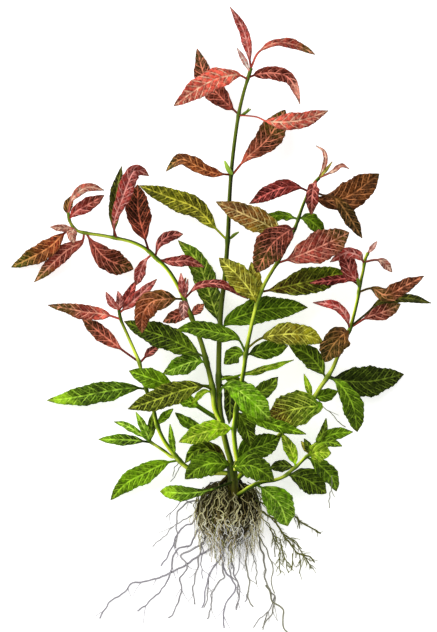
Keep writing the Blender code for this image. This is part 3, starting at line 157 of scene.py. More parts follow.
# The leaves. A heading gives the start of their names and what they grow from. A row starts with the leaf's
# finish, with a slash and its colours where they aren't those of its finish. Then come its blade's width in
# millimetres, the petiole's share of its length, its turn about its own line at foot and tip and the fold of
# its halves in degrees, and the share of its blade where it is widest, unless that is WIDEST_SHARE. Last is
# its midrib, from the stem's axis to the tip, in millimetres. In the solids, a leaf that is no node of its
# own is grown into its stem, and the small leaves are left out.
LEAF_TABLE = """
main_leaf main_stem
rose 5.5 0.12 10 20 20: 9.5 216 17, 7.5 229 20, 4.5 237.5 21, -1 246.5 22
rose/pale_rose 3 0.1 0 0 20: 9 214 17, 6 220 19, 2.5 226 20
rose_olive 6 0.22 35 25 20 0.54: 9.5 216 17, 13.5 224 19, 22.5 228.5 21, 33 227 19, 41.5 223 15
rose/coral 11.5 0.12 -10 -10 12: 8 210.5 17, 2 212.5 22, -8.5 210 27, -18.5 204.5 27, -29 197 22
crimson/pink_fold 7.5 0.08 0 -40 16 0.36: 8.5 211.5 17, 13 213 18.5, 20 213.6 20, 27 212 21, 31.5 206.5 21,
    34 198 18
crimson_olive 11.5 0.09 15 10 18 0.4: 3.2 193 18, -5 201 13, -13.5 212 8, -17.5 226.5 0.6
rose/coral 9 0.33 0 10 15: 3.2 192.5 18, 12 191.5 22, 19 189 25, 34 189.5 27, 48 194.5 24
crimson_olive/coral_olive 13.5 0.14 5 5 14 0.6: 0.5 163 19.5, 7.2 171 16, 18 181 12, 26.7 195.5 8
russet_olive 8 0.1 -20 -30 18: -0.3 162.5 19.5, -9.5 163.5 24, -17 166.5 27, -24 170 26, -29 168.5 21,
    -33 164.5 15
olive 11.3 0.16 5 10 14: -2 129.5 20, -9 136.7 18, -18 146 16, -32 151.7 13, -46.5 157.5 8
green/tan_veined 12 0.08 0 0 16: -6 87 18.5, -9.5 97.5 13, -13.5 110 10, -18.5 121 8, -27 130 5
green 13.5 0.07 5 10 14: -6 84.5 18.5, 0 90.3 17, 15 95 15, 28 96.3 12, 38 96.3 8
right_leaf right_stem
rose_olive/light_rose 2.6 0.1 0 40 20: 43.5 161 25, 46.5 168.5 27, 46 174 27, 42 177 25
green/olive_rose 1.8 0.1 0 0 20: 43.5 161 25, 47 165 27, 50 169 28
rose/light_rose 3 0.3 10 40 20: 43.5 161 25, 50.5 164.2 27, 54.5 167 27, 58.5 165.5 25
crimson 9 0.15 -10 -15 18: 38.8 154 23.5, 31.5 156.5 26, 22 155 25, 8.7 148.2 20
rose/rose_russet 7 0.05 5 5 18 0.5: 42 159.5 24.5, 40.5 155.5 30, 39.8 150 32, 39.5 142.5 29
russet 15 0.08 0 10 14 0.56: 38.5 153 23.5, 46.8 149.6 24.5, 58.5 152 26, 73.5 163 24
russet_dark 7.5 0.34 0 0 18: 39.5 155 23.8, 44.5 152.5 29.5, 51.5 150.5 32.5, 57.5 142.8 29.5, 65 131 21
green 6.5 0.1 40 40 16: 33 140.5 23, 25 142.5 17, 12.5 140.5 14
green 8 0.1 10 10 16: 33.2 141 23, 39 140 17, 47 133 12
crimson_olive 16 0.12 0 0 16 0.5: 31.5 136 23.5, 27.5 134 31, 19.3 127 35.5, 12 113.7 31.5
rose_russet/rose_olive 16 0.12 0 5 14 0.55: 23 118.5 24.5, 33 122 30, 46 127.5 31, 58.5 133.7 26
russet/orange_brown 12.5 0.1 5 0 15: 28 128.5 24, 18 137 22.5, 6.5 142.5 25, -8 149 26
olive_rose/sunlit_olive 12.5 0.08 0 0 18: 12.5 98 25, 8 106 29, 1.3 113.7 28, -6.5 121 26
olive_rose/sunlit_olive 8 0.08 -15 -15 18: 13 99.5 25, 11.5 108 25.5, 9.6 119 25
green_russet/half_brown 14 0.08 0 10 14 0.56: 14.5 104 25, 24 106 21, 39 109.5 17, 57 114 13
olive/sunlit_olive 12 0.22 10 15 14: 7.2 75.5 26, 15 81 27, 28 83 25, 38 82 21, 46 78.5 16
green 9.5 0.18 20 5 16: 6.9 73.5 26, 2.5 81 29, -8.5 84 27.5, -18.5 86 25.5, -28 85 22
dark_green/green 9 0.1 0 0 18: 6.8 73 26, 2 73 22.5, -4 68 20.5
dark_green/green 9.5 0.1 5 5 16: 6.8 72.5 26, 15 74.5 22, 21.5 75.5 20, 28 77 17.5
dark_green 8.5 0.2 -5 0 18: 4.2 55 26, 12 53.5 24, 18 56.5 22.5, 23 61.5 20
bright_green/lime_green 10.5 0.06 -5 0 16: 1 36 26, -8.5 35.5 31, -17 33 29, -26.5 29 23
dark_green 10 0.08 10 10 20: 2 45 26, 6.5 37.5 23.5, 9.5 27 20.5
green/fresh_green 7 0.08 15 10 16: 2.3 46 26, 13 40.5 29, 25 36.5 28.2, 37 33 23
mid_leaf main_stem
bright_green 13.2 0.2 0 5 14 0.55: -6.2 53 17.2, -4.3 56.5 25.5, 1.5 56 30, 10 49.5 34, 19.3 40 30
dark_green/night_green 6.5 0.1 0 0 14: -6.5 58.5 17.2, -1.6 54.3 19, -1 46 20.6, -1.5 38 20.5
green/lime_green 5 0.25 -45 -40 18: -6.5 60 17.2, 2 62 21, 12 64.5 20.5, 31 70 14
branch_leaf left_branch
olive/shaded_olive 12 0.16 10 0 14: -9.6 55 20, -15 57 26, -26 54.7 27, -38.5 50 24, -52 45.5 17
green/fresh_green 10.5 0.45 0 0 16: -10.2 57 20.4, -19 57.5 20, -31 57.5 18.5, -41 61 20, -51.5 64.5 18
bright_green/lime_green 3.5 0.15 0 0 16: -9.5 54 20, -14.5 54 21, -20 48 19
green/bright_green 10.5 0.12 0 0 16: -12.6 68.5 21.8, -18 69.5 17, -26 67 14, -34.5 63 12
dark_green 13 0.1 5 0 14: -13.2 71 22, -18.5 74 20, -31 80.5 18, -43.5 85 15.5, -54 89.3 12.5
crimson/crimson_olive 7 0.1 0 0 18: -20.3 91.5 21, -26 92.5 22, -34.5 89 20
crimson/crimson_olive 5 0.1 0 0 18: -20.5 92 21, -17.5 95 20, -14 98 18
rose_russet 5 0.12 30 25 18: -23.8 100.5 22, -16.5 107 26, -5 107.5 26, 8 100.5 22.5
russet_olive/brown_olive 12 0.14 0 0 20: -24 100.5 22, -32 100.5 27, -40 99 29, -44.5 92.5 27, -45 83.5 23
rose 4 0.08 0 0 20: -24.2 101 22, -25 106.5 26, -25.5 113.5 27
rose 2.6 0.08 0 0 20: -24 100.5 22, -23 105.5 26, -22 110.5 28
dusk_rose 5.5 0.08 0 0 24: -23.7 100 22, -24.2 96.5 27, -24 90 27
rose_russet 6 0.08 0 0 18: -37 120 20, -29.5 119.3 20.5, -22 119.5 19, -14 116.5 16
crimson/rose_russet 6 0.12 -10 10 18 0.55: -38.5 121.5 20, -36.3 128 22, -31.5 131.7 22, -24.5 133 19
rose_russet/rose 6 0.15 0 0 18 0.55: -40 123 19.6, -44.5 118 17.5, -48 107.5 13
crimson_dark 13 0.18 0 0 18 0.5: -41.5 124.3 19.4, -43.7 131.5 21.5, -46.8 144 23, -47.2 157.7 21
rose 8.5 0.1 15 -20 18 0.6: -57.8 131 17, -59 138.5 24, -54.5 151 30, -50 162.5 30, -46.5 164.5 27,
    -41.5 162 22
olive_dark 7 0.1 0 0 18: -59 131.3 16.9, -58.8 142.5 17, -57.6 155.5 15, -55.3 167 12
crimson_olive 12.5 0.06 5 5 16 0.58: -73 133.5 16, -69.5 128 16.5, -62.5 120.5 13, -49.5 115.5 6
rose_olive 8 0.1 0 0 16: -74 133.7 16, -75.5 129 13, -84 124 9, -99.5 109 2
rose_olive/russet_olive 9.8 0.14 0 0 16: -79.5 136.5 16.4, -84.5 133 15, -93.5 125.3 9, -111 116.5 0.6
rose/light_rose 4 0.1 5 5 18: -79.5 136 16.4, -84.5 136 18.8, -91 136.5 18
rose/light_rose 5.5 0.1 0 0 18: -79 136 16.3, -80 132.5 21, -79 128.5 20
rose/light_rose 5 0.22 5 5 18: -82 143.5 18, -79.5 151 21, -72.5 156.3 21, -64 155 17
rose_russet 7.5 0.08 0 0 18: -81.6 140.5 17.4, -78.2 144 20, -72 147.8 19.5, -64 152.4 15
russet_dark 5 0.1 0 0 18: -81.8 142 17.8, -82.2 147 15.5, -79.8 152.5 14.5
side_leaf side_branch
rose_olive 8.2 0.14 10 20 18 0.36: -55.8 90.5 20.3, -63 92.7 19, -73 94 16, -82 95.7 12, -92.5 97.5 7
crimson_olive 8.3 0.3 0 0 18 0.5: -46.5 69 17, -55 75 14, -64.7 82.5 11, -75.5 91.3 7
rose 4.2 0.08 0 0 20: -56.5 95 21, -60 98.5 23, -63 104 23
rose 4.2 0.08 0 0 20: -56.5 95 21, -56 100 24, -57 104.5 25
rose 6 0.08 0 0 20: -56.2 93.6 20.7, -47 101.5 22, -37.5 110.5 22
rose/crimson 5.5 0.08 0 0 20: -56.5 95 21, -52 101.5 20, -48.2 109.5 18.5
rose_russet 4.5 0.3 0 0 18: -46.3 68.3 16.8, -41.5 73.5 13, -36 77.5 11.5
green/dark_to_bright 11 0.07 20 -8 14: -43 55.5 15.2, -51 56 13.5, -66 53.7 9, -80 51 5, -93 49.5 1
dark_green/fresh_green 4.5 0.1 0 0 18: -37.5 37 14, -34.5 41 13.5, -29.5 45.5 12
green/fresh_green 3.5 0.1 0 0 18: -28.5 22 13, -30 29 18, -31 38 20
green/fresh_green 10.7 0.12 5 0 14: -26.5 19.7 12.6, -34.3 18 11, -43 13.5 8, -53 8 5, -61 -0.5 1.2
shoot_leaf small_shoot
bright_green/dark_to_bright 6 0.14 0 0 16: -40.5 28.7 15, -48.5 29.7 13, -57 30 10, -67 30 5
bright_green 4 0.2 20 10 16: -41 29 15, -47.5 34 18, -53.5 37.5 17, -59 39 14
bright_green 4.6 0.08 0 0 18: -41 29 15, -44 36 20, -48 44 22
dark_green 4.6 0.08 0 0 18: -41 29 15, -40.5 36 10.5, -39.8 43.5 8.5
left_leaf main_stem
dark_green/fresh_green 7 0.5 0 0 16: -5.3 39.5 17, -12 43.5 15, -20 48.5 14, -29.5 52.5 12
dark_green/green 6 0.4 0 0 16: -5 37.5 17, -13 35.7 13, -21.5 38 11, -28.5 43.5 9
top_right_leaf right_branch
dusk_rose 2.8 0.1 0 0 22: 68 123.5 20, 70 126 21.5, 72.5 129.3 22
rose/light_rose 4.6 0.4 0 0 18: 66.3 119 19.9, 71.5 120 22, 75.5 119 21.5, 80 114 19
crimson/rose 6 0.12 0 0 18: 66.2 118.5 19.8, 62.5 122.5 25, 56.5 123.3 26, 49 119 24
crimson/rose_russet 9 0.12 0 0 20: 64.2 108.5 18.3, 60 112.5 22, 57.3 119 21, 54 125.5 20
crimson 5 0.15 10 10 18: 64 107 18, 58.5 110.5 19.5, 50.5 110 19.5, 39 108.5 20.5
russet_olive/brown_olive 8.5 0.18 0 15 20: 63.5 104 18, 70 105.8 22, 77 102.5 24, 86.5 107 22, 96 112 17
olive_dark 6 0.3 20 30 18: 59.5 86.8 18, 67 93 21.5, 75 99.5 20, 87 101 16, 100 98.5 8
crimson/rose_olive 8.5 0.28 0 0 18 0.55: 59.3 86.2 18, 68 91.5 14.5, 76.5 94.3 13, 84.5 98 12
rose 5.2 0.1 -20 -10 18: 58.8 85.8 18, 56.5 92.5 23, 51 97.3 24, 40.5 98.7 20
russet_dark 13.7 0.08 0 0 24: 58.6 84.7 18, 54 81.5 25, 49.5 76 25, 46.3 69 20
right_low_leaf right_branch
dark_green 10.5 0.1 10 0 16: 47.3 60.7 17, 43 67.5 14, 37.5 73 12, 28.5 77.5 10
dark_green/night_green 16 0.1 0 0 14: 48.2 62 17, 56.5 59.5 9.5, 70 59.3 6, 86.5 62.7 0.6
green 11 0.1 0 0 16 0.55: 47.8 61.5 17, 53.8 58 22, 60.3 47.5 21, 62.8 34 13
dark_green/fresh_green 7 0.1 0 0 16: 40.8 50.8 16, 47 52.3 14, 53 54.3 12.5
green/lime_green 3.5 0.1 0 0 18: 40 50 15.8, 38.3 56 19, 36 63 22
russet_green 18.5 0.12 0 10 14 0.5: 41 51 16, 42.8 47.3 21, 36 46.5 23.3, 27.5 44.5 22.6, 18 41 18.5
low_leaf low_shoot
dark_green/night_green 6.5 0.1 0 0 16 0.5: 31.5 16.2 19, 25.5 17 15.5, 19 16 13
dark_green 12.5 0.06 0 0 14 0.5: 27.5 12.7 19, 36.5 10.5 12, 47.5 3 5
green 9 0.08 0 10 16: 37.3 21.6 20, 43 18 17, 50 11 11, 52.5 4 5
bright_green/lime_green 10.5 0.1 0 0 16: 38 22.2 20, 43.5 24 25, 49.5 23.5 24
dark_green/night_green 4 0.08 0 0 16: 39 23 20, 38 27 23.5, 36 30.8 24
bright_green/lime_green 6.5 0.1 10 0 16: 32 16.6 19, 29.8 24 22, 24.8 33.5 22
green/fresh_green 6.5 0.08 0 0 16: 42 28.2 20, 50 32.8 20, 60.5 34 16
green 5 0.08 0 0 16: 42 28.5 20, 49 29 24, 55 27 23
dark_green 4 0.08 0 0 16: 42 28.5 20, 45.5 34 24.5, 47 41 25
green/bright_green 15 0.1 0 0 16: 12 8 21.7, 17 4.5 22, 24 -2.5 16, 28 -13.5 6
crown_leaf root_ball
green 12.5 0.06 0 0 14: -0.5 17.5 20, -10 18.5 26.5, -17 16 25, -23.5 10.5 20
russet_dark/brown_to_green 9 0.12 10 10 18: -0.5 17.5 19.5, -9.5 24.5 20, -17.5 25 19, -23.5 18.5 17
green 13 0.08 0 0 14: -0.5 16.5 21, 9 17.5 28, 15 14.5 28, 21 10 25
dark_green/green 13.5 0.16 0 0 14: -0.3 17.5 20, 8 24.5 18.5, 16 27.5 18, 24.5 31.5 16
bright_green/dark_to_bright 8.5 0.2 10 10 16 0.66: -0.2 9 23, -10 5.5 26, -22 3.5 20, -36 4 10
small_leaf main_stem
dark_green 4.5 0.1 0 0 18: -6 62 17, 1 60 20, 5 58.5 21, 9.5 57 21
small_leaf right_branch
olive 3.5 0.1 0 0 18: 40 23 20, 37.5 25.5 22, 34.5 29.5 23
small_leaf low_shoot
green 3 0.1 0 0 18: 42 28.5 20, 44 31.5 23, 45.5 33 24
"""
# Petioles that are thicker or thinner than common, as half widths in millimetres.
PETIOLE_HALF_WIDTHS = {"left_leaf_01": 1.2, "left_leaf_02": 0.9, "main_leaf_07": 0.42}

# Colours of each kind of leaf, as they look: at its foot, its middle and its tip, its veins, its margin.
LOOKS = {name: colours for (name,), colours in table("""
coral: 206 92 72, 176 66 52, 168 64 50, 250 178 150, 168 58 46
pale_rose: 228 150 134, 208 126 112, 198 118 104, 250 192 184, 192 108 94
rose: 178 74 62, 136 46 40, 126 42 34, 242 154 144, 136 42 32
rose_olive: 176 74 60, 118 40 30, 78 68 14, 236 151 128, 104 50 24
rose_russet: 146 48 40, 96 28 22, 80 30 16, 234 143 130, 90 28 16
dusk_rose: 164 90 74, 140 74 62, 126 62 54, 232 171 159, 126 60 52
crimson: 120 38 30, 84 18 14, 70 18 10, 226 123 113, 92 22 14
crimson_dark: 130 50 36, 60 24 8, 52 28 6, 212 114 88, 94 34 14
crimson_olive: 136 54 42, 62 26 10, 54 50 8, 226 134 114, 90 42 22
russet: 104 54 22, 70 36 10, 62 34 8, 186 125 81, 72 36 14
russet_dark: 88 54 20, 42 36 8, 36 38 7, 184 130 80, 52 40 14
russet_olive: 124 46 24, 86 40 12, 58 72 8, 204 142 90, 86 50 20
russet_green: 76 114 8, 74 90 8, 82 52 12, 208 220 92, 84 112 10
brown_olive: 72 58 14, 92 42 18, 92 44 20, 210 138 106, 70 54 16
olive: 98 104 12, 86 84 10, 72 76 8, 200 192 75, 76 82 10
olive_rose: 128 122 28, 108 102 20, 132 92 36, 214 204 99, 108 104 24
olive_dark: 50 48 8, 38 40 6, 46 54 8, 124 124 53, 42 46 8
green: 68 96 8, 60 86 6, 60 84 6, 136 164 50, 74 104 10
fresh_green: 90 124 8, 80 114 6, 80 112 6, 148 184 53, 94 130 14
bright_green: 84 124 6, 84 128 6, 92 134 8, 214 246 108, 104 148 18
dark_green: 58 76 6, 47 63 5, 47 61 5, 136 162 50, 56 78 6
night_green: 36 48 4, 30 41 3, 30 40 3, 114 132 46, 36 52 5
shaded_olive: 70 82 8, 52 62 6, 52 62 6, 180 188 71, 104 112 20
pink_fold: 106 36 24, 84 28 16, 244 156 134, 234 140 122, 156 58 44
sunlit_olive: 140 138 26, 128 116 22, 120 118 20, 236 218 104, 102 130 18
orange_brown: 124 108 22, 122 72 24, 122 68 26, 250 196 136, 128 114 28
half_brown: 86 50 12, 58 54 8, 74 112 8, 172 186 66, 74 102 12
coral_olive: 160 72 52, 54 28 8, 66 70 10, 226 138 112, 80 44 18
brown_to_green: 76 46 14, 66 84 8, 80 116 8, 164 190 60, 72 98 10
dark_to_bright: 28 42 4, 66 96 7, 138 180 26, 158 192 68, 74 106 10
light_rose: 184 98 80, 156 78 62, 146 70 54, 244 178 156, 140 68 50
lime_green: 124 164 10, 126 170 12, 132 176 12, 238 250 100, 142 184 22
tan_veined: 70 96 10, 62 88 8, 58 84 8, 172 184 84, 80 108 12
""")}

# Buds and the stub of a lost leaf: radius, look and route.
BUDS = [(float(radius), look, route) for (radius, look), route in table("""
0.5 green: 4.5 192.5 18, 7 194 20.5, 8.5 196 22
0.6 green: 4.5 192 18, 8 194.5 18, 9.5 195.5 18
1.0 bright_green: 0.2 162.5 19.5, -1.7 165 22, -3.7 169.5 23
0.7 dark_green: -1 130.5 20, 1 132.5 21, 3.5 134 22
0.8 green: 63.8 106 18, 63 109.5 20, 62 113 21
0.9 russet_dark: -27 107 22, -24.5 108.5 24, -23 111 26
""")]
# The longest roots, each from inside the ball to its tip: foot radius, tip radius and route in millimetres.
ROOTS = sized_routes("""
0.8 0.4: -4 -12 10, -10 -24 3, -16 -28.5 0.9, -24.5 -34 0.9, -33.5 -38.5 0.9, -43.5 -41.5 0.8,
    -50.5 -42.5 0.8, -54 -47.5 0.7, -61.5 -52 0.6, -65.5 -60 0.5
0.8 0.4: -8 -10 11, -13.5 -21.5 4, -24 -28 1, -25 -30 0.9, -22 -35 2.6, -25.5 -41 0.8, -25.5 -50 0.8,
    -28.5 -56.5 0.7, -32 -60 0.5
0.7 0.4: -12 -7 12, -18 -17 4, -21 -23 1.6, -28.5 -26.5 1, -30.5 -35 1, -32 -40 2.8, -37 -47.5 0.8,
    -47.5 -56.5 0.5
0.6 0.4: -12 -1 12, -21 -1.5 6, -26.5 -6 2, -27.5 -12 1, -27.5 -20 0.8, -28 -25 0.6
0.6 0.4: -12 -4 11, -19 -11 4, -26 -16.5 1.4, -30 -24 1.2, -32 -29 1, -35.5 -34 0.5
0.6 0.4: -6 -14 8, -15.5 -24 2, -17 -35 0.8, -19.5 -42.5 0.8, -18.5 -53.5 0.5
0.7 0.4: -3 -12 8, -5 -23 2.5, -4.5 -32.5 0.9, -4 -39 0.8, -8 -42.5 0.8, -10 -50 0.8, -12.5 -60 0.5
0.6 0.4: -5 -22 3, -6 -32 0.8, -11 -36.5 0.8, -12.5 -45 0.8, -15 -54.5 0.5
0.7 0.4: -2 -13 9, -4 -24 3, -4.5 -34 0.9, 0 -41 0.8, 1.5 -46 0.8, -3 -52.5 0.8, -4.5 -59 0.7, -4 -65 0.5
0.6 0.4: 1 -12 8, 0 -25 1.5, 1 -36 0.8, 3 -42.5 0.8, 3.5 -50 0.8, 2.5 -56 0.5
0.6 0.4: 5 -12 8, 7.5 -22.5 3, 8 -32.5 0.9, 9 -42.5 0.8, 9 -50 0.7, 11 -54 0.5
0.7 0.4: 8 -10 10, 13 -18 4, 14.5 -25 1.2, 16.5 -35 0.8, 17 -42.5 0.8, 21.5 -50 0.8, 19 -57.5 0.7,
    15 -65 0.5
0.6 0.4: 17 -43.5 0.8, 21 -49 0.8, 25.5 -55 0.8, 26 -60 0.7, 29 -66 0.5
0.8 0.4: 9 -3 16, 15 -6 10, 21.5 -11 4, 26.5 -19 1.2, 32.5 -26.5 0.9, 39 -29 0.8, 41.5 -32.5 0.5
0.6 0.4: 11 0 16, 18 -3 8, 26 -6 2, 31 -8.5 1, 34 -11 0.9, 40 -15 0.8, 43.5 -17 0.5
""")
# Finer roots that the solids leave out.
FINE_ROOTS = sized_routes("""
0.35 0.15: -16 -22 4, -14.5 -25 0.8, -15.5 -32.5 0.5, -14.5 -40 0.4
0.35 0.15: -12 -45 0.6, -13 -50 0.5, -15 -55 0.4
0.4 0.15: -2 -24 3, -1 -37.5 0.7, 2.5 -41.5 0.6, 4 -46 0.5, 2.5 -55 0.4
0.35 0.15: -1 -22 4, 0 -35 0.6
0.35 0.15: 3 -22 4, 3.5 -34 0.6, 2 -38.5 0.4
0.35 0.15: 8.5 -45 0.6, 6.5 -52.5 0.4
0.35 0.15: 9 -22 5, 12 -34 0.7, 12.5 -42.5 0.4
0.35 0.15: 21.5 -49 0.7, 19 -56 0.6, 14 -60 0.5, 11 -64.5 0.4
0.35 0.15: 18 -57 0.6, 16.5 -62 0.5, 15.5 -66 0.4
0.4 0.15: 14 -19 6, 18 -26.5 1, 21 -36 0.6, 20 -41 0.5, 21.5 -47.5 0.4
0.35 0.15: -5.5 -30 0.8, -11 -37.5 0.6, -12 -45 0.4
0.4 0.2: 19 -15 3.5, 22 -20 1, 21.5 -29 0.5
0.35 0.15: 24 -20 1, 26 -27.5 0.4
0.35 0.15: 26.5 -20 1, 30.5 -20.5 0.8, 35 -25.5 0.4
0.3 0.15: 30.5 -27.5 0.8, 30 -36 0.4
0.3 0.15: 34 -28 0.8, 33.5 -37.5 0.4
0.3 0.15: 35.5 -27.5 0.8, 37.5 -33.5 0.4
0.3 0.15: 33 -9 1, 34 -15 0.4
0.35 0.15: -20 -2 8, -26 -1.5 4, -33 -10 0.5
0.35 0.15: -20 -8 5, -28 -12.5 1.2, -32 -16.5 0.8, -40 -23.5 0.4
0.3 0.12: -25.5 17 12, -28 12.5 8, -31 9.5 4
0.3 0.12: -27 18 12, -29 14.5 9, -29.5 11 6
0.35 0.2: 14 -8 12, 20 -14 5, 24 -22 1, 27 -30 0.6, 29 -37 0.4
0.3 0.2: 20 -10 5, 26 -17 1.2, 33 -24 0.8, 38 -31 0.5, 40 -36 0.4
0.3 0.2: 17 -12 7, 22 -20 1, 24 -29 0.6, 25 -37 0.4
0.22 0.1: 43 49.5 15, 45 48.5 12, 51 42 5, 58 36 0.6
0.22 0.1: 50 12 16, 49 4 12, 48.5 -4 8
""")
GREY_ROOT, LILAC_ROOT, MOSSY_ROOT = (186, 184, 180), (176, 172, 180), (118, 120, 54)
MOSSY_FROM_X = 24  # mm; the roots that end right of this are olive with many short side roots
MOSSY_ROOTLETS, CLEAN_ROOTLETS = (0.5, (2, 5)), (0.06, (3, 9))  # how many to a millimetre, and how long
ROOT_TONES = [(250, 244, 232), (228, 219, 202), (180, 165, 130), (118, 100, 50), (98, 98, 36), (40, 32, 9)]
# Each layer of the mat: its strands' number, level on the ball, cosines of the start, span, flare and
# radius, how light they are painted (darker for the inner layers as painted shade, lighter for the outer
# ones as painted highlight), and how they share the tones.
ROOT_LAYERS = [
    (150, 0.88, (0.6, 0.95), (1.6, 2.3), (-0.02, 0.04), (0.25, 0.45), 0.72, (0, 0.03, 0.1, 0.2, 0.2, 0.47)),
    (120, 0.95, (-0.6, 0.94), (0.6, 1.2), (-0.05, 0.12), (0.2, 0.34), 0.84,
     (0.08, 0.12, 0.2, 0.2, 0.12, 0.28)),
    (92, 1.0, (-0.75, 0.9), (0.35, 0.8), (-0.02, 0.34), (0.17, 0.28), 1.08, (0.6, 0.24, 0.08, 0, 0.08, 0)),
    (170, 0.94, (-0.75, 0.12), (0.15, 0.5), (0.0, 0.06), (0.18, 0.28), 1.04,
     (0.42, 0.22, 0.1, 0.08, 0.1, 0.08)),
]
INNER_LAYER, OUTER_LAYER = 0, 3


def all_leaves():
    """Every leaf as its name, what it grows from and its values, in the order of the table."""
    counts = Counter()
    for words, route in table(LEAF_TABLE):
        if not route:
            prefix, carrier = words
            continue
        counts[prefix] += 1
        finish, _, look = words[0].partition("/")
        numbers = [float(word) for word in words[1:]] + [WIDEST_SHARE]
        values = finish, look or finish, numbers[:6], route
        yield f"{prefix}_{counts[prefix]:02d}", carrier, values


LEAVES = list(all_leaves())


def blend(first, second, share):
    """A number or colour between two, the first at a share of 0 and the second at 1."""
    first = np.asarray(first, float)
    return first + (np.asarray(second, float) - first) * share


def smoothstep(low, high, value):
    t = np.clip((value - low) / (high - low), 0, 1)
    return t * t * (3 - 2 * t)


def linear(colour):
    """A colour as it looks, from 0 to 255, as the linear one that a shader takes."""
    value = np.asarray(colour, float) / 255
    return np.where(value <= 0.04045, value / 12.92, ((value + 0.055) / 1.055) ** 2.4)


def unit(vectors):
    return vectors / np.maximum(np.linalg.norm(vectors, axis=-1, keepdims=True), 1e-9)


def waves(rng, places, size, count=4):
    """Smooth noise from -1 to 1 or so, with lumps of about that size in millimetres."""
    total = np.zeros(len(places))
    for _ in range(count):
        way = unit(rng.normal(size=3)) * FULL_TURN / (size * rng.uniform(1.4, 3))
        total += np.sin(places @ way + rng.uniform(0, FULL_TURN))
    return total / math.sqrt(count * 0.5) / 1.5


def dense_route(route, steps=16):
    """Points on a Catmull-Rom curve through the route's own points, and their lengths along it."""
    points = np.array(route, float)
    ends = np.vstack([2 * points[0] - points[1], points, 2 * points[-1] - points[-2]])
    t = np.linspace(0, 1, steps, endpoint=False)[:, None]
    runs = [0.5 * (2 * b + (c - a) * t + (2 * a - 5 * b + 4 * c - d) * t ** 2
                   + (3 * b - a - 3 * c + d) * t ** 3)
            for a, b, c, d in zip(ends, ends[1:], ends[2:], ends[3:])]
    dense = np.vstack(runs + [points[-1:]])
    lengths = np.concatenate([[0], np.cumsum(np.linalg.norm(np.diff(dense, axis=0), axis=1))])
    return dense, lengths


def sample(dense, lengths, shares):
    """The places at some shares of a route's length, and the ways the route runs there."""
    wanted = np.asarray(shares) * lengths[-1]
    slopes = np.gradient(dense, lengths, axis=0)
    places, ways = (np.stack([np.interp(wanted, lengths, rows[:, axis]) for axis in range(3)], axis=1)
                    for rows in (dense, slopes))
    return places, unit(ways)


class Piece:
    """Gathers the points, faces and point attributes of one mesh."""

    def __init__(self):
        self.points, self.faces, self.attributes, self.count = [], [], {}, 0

    def add(self, points, faces, **attributes):
        """Adds points and faces. Each attribute has a row for each point, or one for them all."""
        self.points.append(points)
        self.faces += [tuple(corner + self.count for corner in face) for face in faces]
        self.count += len(points)
        for key, values in attributes.items():
            self.attributes.setdefault(key, []).append(np.broadcast_to(values, (len(points), 3)))

    def finish(self, name, material, slot, replaces=()):
        points = np.vstack(self.points)
        points[:, 2] = np.maximum(points[:, 2], FLOOR_CLEARANCE)
        mesh = bpy.data.meshes.new(name)
        mesh.from_pydata((points * MM).tolist(), [], self.faces)
        for key, rows in self.attributes.items():
            values, kind, field = np.vstack(rows), "FLOAT_VECTOR", "vector"
            if key in ("ground", "vein"):
                values = np.column_stack([linear(np.clip(values, 0, 255)), np.ones(self.count)])
                kind, field = "FLOAT_COLOR", "color"
            attribute = mesh.attributes.new(key, kind, "POINT")
            attribute.data.foreach_set(field, values.astype(np.float32).ravel())
        mesh.materials.append(material)
        mesh.shade_smooth()
        piece = bpy.data.objects.new(name, mesh)
        bpy.context.scene.collection.objects.link(piece)
        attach(piece, "root")
        if replaces:
            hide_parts(*replaces)


def grid_faces(rows, columns, closed, flip=False):
    """Faces of a grid of points, row after row, with the last column joined to the first if closed."""
    faces = []
    for row in range(rows - 1):
        for column in range(columns if closed else columns - 1):
            following = (column + 1) % columns
            face = (row * columns + column, row * columns + following,
                    (row + 1) * columns + following, (row + 1) * columns + column)
            faces.append(face[::-1] if flip else face)
    return faces


def add_tube(piece, route, radius_at, ground, step, sides, offset, wobble=None, grooves=0.0):
    """Adds a capped tube along a route, made of rings with a step in millimetres between them.

    radius_at and ground take shares of its length, ground also angles. The offset moves its patterns.
    """
    dense, lengths = dense_route(route)
    count = max(4, int(lengths[-1] / step) + 1)
    shares = np.linspace(0, 1, count)
    places, ways = sample(dense, lengths, shares)
    if wobble is not None:
        places = places + wobble(shares, lengths[-1])
        ways = unit(np.gradient(places, axis=0))
    angles = np.linspace(0, FULL_TURN, sides, endpoint=False)
    radii = radius_at(shares)[:, None] * (1 + grooves * np.cos(4 * angles + 0.6)[None, :])
    side = unit(np.cross(ways[0], WORLD_UP if abs(ways[0][2]) < 0.9 else np.array([1.0, 0, 0])))
    rings = []
    for place, way, radius in zip(places, ways, radii):
        side = unit(side - way * (side @ way))
        spoke = np.cos(angles)[:, None] * side + np.sin(angles)[:, None] * np.cross(way, side)
        rings.append(place + radius[:, None] * spoke)
    faces = grid_faces(count, sides, True, flip=True)
    first, last = count * sides, count * sides + 1
    points = np.vstack(rings + [places[0] - ways[0] * radii[0].mean() * 0.4,
                                places[-1] + ways[-1] * radii[-1].mean() * 0.6])
    for corner in range(sides):
        following = (corner + 1) % sides
        faces.append((first, corner, following))
        faces.append((last, (count - 1) * sides + following, (count - 1) * sides + corner))
    share_of = np.concatenate([np.repeat(shares, sides), [0, 1]])
    angle_of = np.concatenate([np.tile(angles, count), [0, 0]])
    place = np.stack([share_of * lengths[-1], np.cos(angle_of) * 2, np.sin(angle_of) * 2 + offset], axis=1)
    piece.add(points, faces, ground=ground(share_of, angle_of), place=place)


